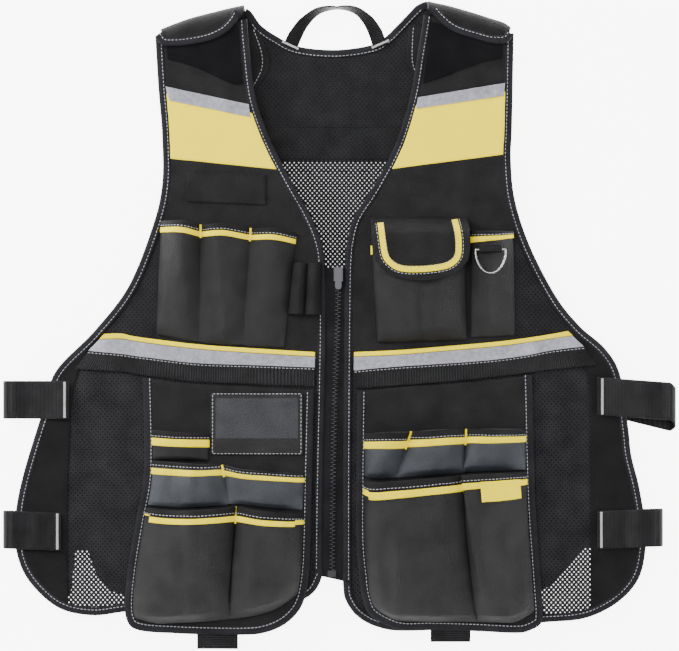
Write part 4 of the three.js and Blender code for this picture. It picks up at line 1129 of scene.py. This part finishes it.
tooth_faces = [(3, 2, 1, 0), (8, 9, 10, 11)] + [
    (r + k, r + (k + 1) % 4, r + 4 + (k + 1) % 4, r + 4 + k) for r in (0, 4) for k in range(4)
]
teeth_faces = (np.array(tooth_faces)[None] + 12 * np.arange(len(teeth))[:, None, None]).reshape(-1, 4)
teeth_points = teeth.reshape(-1, 3)
zip_teeth = make_mesh("zip_teeth", teeth_points, teeth_faces, teeth_points[:, :2], tooth_plastic, smooth=False)
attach(zip_teeth, BODY)
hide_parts("zip_chain")
HARD_PIECES = [
    ("zip_slider", slider_metal, 1.6), ("zip_bottom_box", tooth_plastic, 0.8), ("zip_pull", slider_metal, 0.5),
]
for node, finish, round_over in HARD_PIECES:
    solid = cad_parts[node]
    solid.data.materials.clear()
    solid.data.materials.append(finish)
    rounding = solid.modifiers.new("rounded", "BEVEL")
    rounding.width = round_over * MM
    rounding.segments = 3


# Pockets: each wall swells out between its seams, deep at the mouth. A black hem folds over the
# mouth, and a narrow yellow tape is sewn below it.
WALL = 1.3
ON_WALL = WALL + 0.1
HEM_THICK = 1.0
YELLOW_THICK = 0.8


def swelling(plan, creases, base, mouth, foot, fullness=0.75):
    """A wall sewn down at its creases that stands off between them, by so much at the mouth and the foot."""
    creases = np.asarray(creases, float)

    def at(u, v):
        k = np.clip(np.searchsorted(creases, u + 1e-9, side="right") - 1, 0, len(creases) - 2)
        share = np.clip((u - creases[k]) / (creases[k + 1] - creases[k]), 0, 1)
        swell = np.maximum(np.sin(np.pi * share), 0) ** fullness
        closing = np.minimum(1, np.maximum(v, 0) / 0.12) ** 0.6
        depth = (foot + (mouth - foot) * np.maximum(v, 0) ** 0.8) * closing
        p = plan(u, v)
        x, y = p[..., 0], p[..., 1]
        upright = 2.2 * crumple(x, 0.28 * y, 19, 5) + 0.9 * crumple(1.4 * x, 0.45 * y, 12, 6)
        dents = upright * swell * np.minimum(1, depth / 6)
        return np.concatenate([p, (front_height(x, y) + base + depth * swell + dents)[..., None]], -1)

    return at


def strip_of(place, low, high, left=0.0, right=1.0):
    """A part of a sheet, between shares of its length and its width."""
    return lambda u, v: place(left + (right - left) * u, low + (high - low) * v)


pocket_stitches = []
yellow_tacks = []
TACK_RISE = 6
TACK_OVER = 1.5


def hemmed_pocket(name, place, columns, rows, finish, tall, hem, tape, creases=(), reach=(0, 1)):
    """The wall, its hem and its yellow tape; tall, hem and tape are millimetres down from the mouth."""
    cloth(name, place, columns, rows, WALL, finish)
    cloth(name + "_hem", strip_of(place, 1 - hem / tall, 1), columns, 4, HEM_THICK, black_cloth, lift=ON_WALL)
    cloth(name + "_yellow", strip_of(place, 1 - tape[1] / tall, 1 - tape[0] / tall, *reach), columns, 3,
          YELLOW_THICK, yellow_tape, lift=ON_WALL, ribbed=True)
    seam = 1 - (hem - 1) / tall
    pocket_stitches.append(sheet_line(place, [(0.01, seam), (0.99, seam)], WALL + 1.35))
    for crease in creases:
        tack = place(np.full((1, 40), crease), np.linspace(1 - (tape[1] + TACK_OVER) / tall, 1, 40)[None])[0]
        yellow_tacks.append(tack + np.array([0, 0, WALL + TACK_RISE]))


tool_pocket = swelling(
    patch(edge([(-178, -9), (-175.5, 50), (-172.5, 104)]), edge([(-51, -22), (-45, 40), (-39.5, 92)]),
          edge([(-178, -9), (-136, -16.5), (-92, -20), (-51, -22)]),
          edge([(-172.5, 104), (-152, 104.5), (-134, 100), (-112, 101.5), (-84, 96.5), (-62, 97),
                (-39.5, 92)])),
    (0, 1 / 3, 2 / 3, 1), ON_FRONT, 15, 4, 1.15)
hemmed_pocket("chest_tool_pocket", tool_pocket, 96, 44, pocket_cloth, 113, 9, (10.3, 16.6), (1 / 3, 2 / 3))
pen_loops = on_front(quad((-46, 11), (-15, 10), (-41, 62), (-14, 62)), BINDING_THICK + 0.2,
                     lambda u, v, p: 8.5 * np.abs(np.sin(2 * np.pi * u)) ** 0.7)
cloth("pen_loops", pen_loops, 48, 24, TRIM, black_cloth)

POCKET_DEPTH = 18
flap_pocket = swelling(
    patch(edge([(43, -17), (39, 50), (37.5, 91)]), edge([(131, -14), (129.5, 50), (130.5, 91)])),
    (0, 1), ON_FRONT, POCKET_DEPTH, POCKET_DEPTH * 0.7, 0.45)
cloth("flap_pocket", flap_pocket, 50, 40, WALL, pocket_cloth)
flap_outline = patch(edge([(70, 45.5), (54, 51), (44.5, 60), (39, 70), (36.5, 86), (36, 106.5)]),
                     edge([(105, 46), (121, 53), (131, 63), (134, 74), (134, 90), (132, 106.5)]),
                     edge([(70, 45.5), (87, 44), (105, 46)]))
FLAP_SEAM = 106.5
FLAP_TURN = 15


def flap_height(x, y):
    """The flap turns up from its seam and lies over the pocket, lower towards its sides."""
    sag = 5 * np.abs((x - 85) / 49) ** 4
    turn = np.sin(np.pi / 2 * np.clip((FLAP_SEAM - y) / FLAP_TURN, 0, 1))
    return front_height(x, y) + ON_FRONT + (POCKET_DEPTH + WALL + 1.2 - sag) * turn


def pocket_flap(u, v):
    p = flap_outline(u, v)
    return np.concatenate([p, flap_height(p[..., 0], p[..., 1])[..., None]], -1)


cloth("pocket_flap", pocket_flap, 44, 32, CLOTH, black_cloth)
FLAP_TRIM = [
    (45.2, 102), (47.7, 83), (50.5, 68.5), (57, 60.5), (68, 56), (88.5, 55.7), (108.5, 58.5), (118, 63.3),
    (122.5, 71.5), (122.5, 88), (119.2, 105.5),
]


def over_flap(x, y):
    """Where the flap is steep, what is sewn on it stands higher above its middle."""
    steep = flap_height(x, y - 0.5) - flap_height(x, y + 0.5)
    return flap_height(x, y) + CLOTH * (np.sqrt(1 + steep**2) - 1)


tape_round("pocket_flap_trim", FLAP_TRIM, 0, lambda x, y: over_flap(x, y) + CLOTH + 0.4, yellow_tape,
           width=6.2, thick=0.9, steps=160)
pocket_stitches += [
    drawn_line(FLAP_TRIM, -4.6, over_flap, CLOTH + 0.3), drawn_line(FLAP_TRIM, 2.6, over_flap, CLOTH + 1.0),
]

narrow_pocket = swelling(patch(edge([(136, -12), (135.8, 94)]), edge([(179, -10), (178, 60), (176.5, 94)])),
                         (0, 1), ON_FRONT, 13, 3, 0.6)
hemmed_pocket("narrow_chest_pocket", narrow_pocket, 36, 44, pocket_cloth, 106, 8, (9.6, 17))


# D ring of round wire on the narrow pocket, its bar held by a tab of folded webbing. It swings.
RING_WIDTH = 30
RING_DROP = 22
WIRE = 2.5
TAB_WIDTH = 23
TAB_TAIL = 5
ring_low, ring_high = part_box("d_ring")
ring_bar = (154.8, 75, (ring_low[2] + ring_high[2]) / 2 / MM)


def ring_tab(u, v):
    bend = WIRE / 2 + 0.45
    x = ring_bar[0] - (u - 0.5) * TAB_WIDTH
    turn = np.pi * np.clip((v - 0.3) / 0.4, 0, 1)
    upper = TAB_TAIL * (1 - v / 0.3)
    lower = TAB_TAIL * (v - 0.7) / 0.3
    y = np.where(v < 0.3, upper, np.where(v > 0.7, lower, -bend * np.sin(turn)))
    return np.stack([x, ring_bar[1] + y, ring_bar[2] + bend * np.cos(turn)], -1)


cloth("ring_tab", ring_tab, 12, 40, TRIM, ribbed_web, ribbed=True)
RING_STEPS = 120
WIRE_SIDES = 16
BAR_RISE = 1.2
swing = np.linspace(0, 2 * np.pi, RING_STEPS + 1)[:-1]
ring_up = np.where(np.sin(swing) > 0, np.minimum(np.sin(swing) * 4, BAR_RISE), np.sin(swing) * RING_DROP)
ring_line = np.stack([np.cos(swing) * RING_WIDTH / 2, ring_up], 1)
ring_way = unit(np.roll(ring_line, -1, 0) - np.roll(ring_line, 1, 0))
ring_side = np.stack([ring_way[:, 1], -ring_way[:, 0]], 1)
round_wire = np.linspace(0, 2 * np.pi, WIRE_SIDES + 1)[:-1]
ring_plan = ring_line[:, None] + ring_side[:, None, :] * (WIRE / 2 * np.cos(round_wire))[None, :, None]
ring_height = np.broadcast_to(WIRE / 2 * np.sin(round_wire), (RING_STEPS, WIRE_SIDES))
ring_points = np.concatenate([ring_plan, ring_height[..., None]], -1)
ring_points = ring_points + np.array([ring_bar[0], ring_bar[1] - BAR_RISE, ring_bar[2]])
step, side = np.meshgrid(np.arange(RING_STEPS), np.arange(WIRE_SIDES), indexing="ij")
next_step = (step + 1) % RING_STEPS
next_side = (side + 1) % WIRE_SIDES
ring_faces = np.stack([
    (step * WIRE_SIDES + side).ravel(), (step * WIRE_SIDES + next_side).ravel(),
    (next_step * WIRE_SIDES + next_side).ravel(), (next_step * WIRE_SIDES + side).ravel(),
], 1)[:, ::-1]
ring_uv = np.stack([step * 0.6, side * 0.5], -1).reshape(-1, 2)
steel_ring = make_mesh("ring_wire", ring_points.reshape(-1, 3), ring_faces, ring_uv, nickel)
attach(steel_ring, "ring")
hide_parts("d_ring")


# Pocket panels: bound panels hanging from the belt over each wing, and the pockets sewn on them.
PANEL_BASE = BINDING_THICK / 2 + CLOTH / 2 + 0.8
ON_PANEL = PANEL_BASE + CLOTH + 1.6 * SEAM
INSIDE = BINDING + 0.8
PANEL_RIGHT = [
    (-192, -53), (-191, -145), (-199, -194), (-206, -235), (-210, -270), (-209, -293), (-198, -305),
    (-160, -308.5), (-97, -310), (-68, -307), (-46, -296), (-32, -278), (-26, -250), (-24, -215),
    (-22.5, -150), (-20.5, -65),
]
PANEL_LEFT = [
    (22, -66), (21, -155), (21, -215), (24, -250), (27, -272), (34, -289), (51, -300), (68, -305),
    (95, -305), (135, -306), (180, -308), (194, -306), (206, -299), (208, -288), (207, -271), (204, -229),
    (201, -187), (199, -134), (198, -91), (197, -50),
]
HEAD_RIGHT = [(-192, -53), (-140, -59), (-86, -61.5), (-20.5, -65)]
HEAD_LEFT = [(22, -66), (76, -61), (113, -59), (166, -54), (197, -50)]
panel_right = patch(edge(PANEL_RIGHT, 5.3, 0), edge(PANEL_RIGHT, 11, 15),
                    edge(PANEL_RIGHT, 5.3, 11), edge(HEAD_RIGHT))
panel_left = patch(edge(PANEL_LEFT, 5, 0), edge(PANEL_LEFT, 12.8, 19),
                   edge(PANEL_LEFT, 5, 12.8), edge(HEAD_LEFT))


def panel_height(x, y):
    return front_height(x, y) + PANEL_BASE + CLOTH / 2


cloth("pocket_panel_right", on_front(panel_right, PANEL_BASE), 44, 60, CLOTH, black_cloth)
cloth("pocket_panel_left", on_front(panel_left, PANEL_BASE), 44, 60, CLOTH, black_cloth)
BOTTOM_TABS = [
    ("bottom_tab_right", quad((-138, -324), (-97, -324), (-138, -296), (-97, -298))),
    ("bottom_tab_left", quad((95.5, -317), (135.5, -317), (95.5, -296), (135.5, -296))),
]
for name, plan in BOTTOM_TABS:
    cloth(name, on_front(plan, PANEL_BASE - 0.6), 14, 14, 1.2, ribbed_web)
tape_round("panel_binding_right", PANEL_RIGHT, BINDING / 2, panel_height, bound_tape, steps=400)
tape_round("panel_binding_left", PANEL_LEFT, BINDING / 2, panel_height, bound_tape, steps=400)
sew("panel_stitches", [drawn_line(rows, 6.9, panel_height, 1.7) for rows in (PANEL_RIGHT, PANEL_LEFT)],
    pale_thread)

small_pocket = swelling(
    patch(edge(PANEL_RIGHT, 0.86, 0.58, INSIDE), edge([(-127, -134.5), (-127, -109)])),
    (0, 1), ON_PANEL, 10, 4, 0.6)
hemmed_pocket("small_pocket", small_pocket, 36, 16, pocket_cloth, 27, 6, (7, 13.8))
window = quad((-124, -129), (-32, -129), (-124, -68), (-32, -68))
cloth("card_window", on_front(window, ON_PANEL), 40, 26, TRIM, pocket_cloth)
pane = on_front(quad((-119, -113), (-37, -113), (-119, -73), (-37, -73)), ON_PANEL + TRIM + 0.2)
clear_film, tree, shader = new_finish("clear_film", "nylon", 0.4)
film_dye = placed_group(tree, uneven, Place=cut_place(tree), Dark=(0.16, 0.17, 0.20, 1),
                        Light=(0.23, 0.24, 0.27, 1), Fine=60.0)
tree.links.new(film_dye["Color"], shader.inputs["Base Color"])
shader.inputs["Alpha"].default_value = 0.07
cloth("card_window_film", pane, 30, 16, 0.4, clear_film)
pocket_stitches.append(sheet_line(on_front(window, ON_PANEL), once_round(0.02, 0.02), TRIM))

middle_pocket = swelling(
    patch(edge(PANEL_RIGHT, 1.62, 0.88, INSIDE), edge(PANEL_RIGHT, 13.52, 14.02, INSIDE),
          edge([(-186, -171), (-154, -173.5), (-116, -172), (-97, -171), (-71, -175), (-33.5, -178)]),
          edge([(-182, -130.5), (-141, -133.5), (-113, -135), (-90, -140), (-32, -145)])),
    (0, 0.5, 1), ON_PANEL, 12, 3)
hemmed_pocket("middle_pocket", middle_pocket, 90, 24, grey_nylon, 38, 3.2, (4.2, 8.6), (0.5,))
FOOT_OF_RIGHT_POCKETS = [
    (-200, -291), (-180, -297.5), (-160, -299), (-141, -300), (-121, -300.5), (-102, -300.5), (-82, -299),
    (-62, -294), (-43, -282),
]
RIGHT_DEPTH = 117
RIGHT_CREASE = 14 / 24
# Shares of the width where the yellow tape steps at the pocket's gussets
OUTER_GUSSET = 0.045
INNER_GUSSET = 0.945
lower_right = swelling(
    patch(edge(PANEL_RIGHT, 5.2, 1.68, INSIDE), edge(PANEL_RIGHT, 11.3, 13.46, INSIDE), edge(FOOT_OF_RIGHT_POCKETS),
          edge([(-187, -174.5), (-154, -176.5), (-116, -174.5), (-97, -173.5), (-71, -177.5),
                (-34, -180.5)])),
    (0, RIGHT_CREASE, 1), ON_PANEL, 20, 6, 0.55)
hemmed_pocket("lower_pockets_right", lower_right, 90, 48, pocket_cloth, RIGHT_DEPTH, 5.4, (6.6, 11),
              (RIGHT_CREASE,), (OUTER_GUSSET, INNER_GUSSET))
outer_gusset = strip_of(lower_right, 1 - 6.2 / RIGHT_DEPTH, 1 - 1.8 / RIGHT_DEPTH, 0, OUTER_GUSSET)
inner_gusset = strip_of(lower_right, 1 - 9.2 / RIGHT_DEPTH, 1 - 5.2 / RIGHT_DEPTH, INNER_GUSSET, 1)
cloth("lower_right_outer_gusset_tape", outer_gusset, 4, 3, YELLOW_THICK, yellow_tape, lift=WALL + 0.2)
cloth("lower_right_inner_gusset_tape", inner_gusset, 4, 3, YELLOW_THICK, yellow_tape, lift=WALL + 0.2)
chisel_row = swelling(
    patch(edge(PANEL_LEFT, 0.94, 0.51, INSIDE), edge(PANEL_LEFT, 16.8, 17.7, INSIDE),
          edge([(30, -150), (40, -152.5), (74, -151), (125, -147), (131, -145.8), (189, -144)]),
          edge([(30.5, -112), (54, -109.5), (76, -108.5), (99, -106), (131, -105), (160, -103.5),
                (189.5, -103.5)])),
    (0, 1 / 3, 2 / 3, 1), ON_PANEL, 18, 4)
hemmed_pocket("chisel_pockets", chisel_row, 96, 24, grey_nylon, 41, 7, (7.8, 14.2), (1 / 3, 2 / 3))
FOOT_OF_LEFT_POCKETS = [
    (41, -282), (60, -293), (80, -295), (100, -296), (120, -296.5), (140, -297), (160, -298), (180, -298),
    (198, -288),
]
LEFT_DEPTH = 142
LEFT_CREASE = 7 / 11
LEFT_GUSSET = 0.12
lower_left = swelling(
    patch(edge(PANEL_LEFT, 5, 0.98, INSIDE), edge(PANEL_LEFT, 13.2, 16.76, INSIDE), edge(FOOT_OF_LEFT_POCKETS),
          edge([(30, -153), (40, -155.5), (74, -153.5), (125, -149.6), (131, -148.4), (189.5, -146.5)])),
    (0, LEFT_CREASE, 1), ON_PANEL, 20, 6, 0.55)
hemmed_pocket("lower_pockets_left", lower_left, 90, 56, pocket_cloth, LEFT_DEPTH, 4.6, (5.2, 9.3),
              (LEFT_CREASE,), (LEFT_GUSSET, 1))
left_gusset = strip_of(lower_left, 1 - 7.6 / LEFT_DEPTH, 1 - 4.0 / LEFT_DEPTH, 0, LEFT_GUSSET)
cloth("lower_left_gusset_tape", left_gusset, 8, 3, YELLOW_THICK, yellow_tape, lift=WALL + 0.2)
label_place = strip_of(lower_left, 0.872, 0.966, 0.845, 0.965)
cloth("blank_label", label_place, 24, 14, YELLOW_THICK, yellow_tape, lift=WALL + 1.6)
cloth("flap_tag", on_front(quad((35.5, 70), (37.5, 70), (35.5, 79), (37.5, 79)), 16), 2, 5, 0.7, yellow_tape)
sew("pocket_stitches", pocket_stitches, pale_thread)
sew("yellow_tacks", yellow_tacks, yellow_tape, pitch=0.9, length=2.4, crosswise=True)
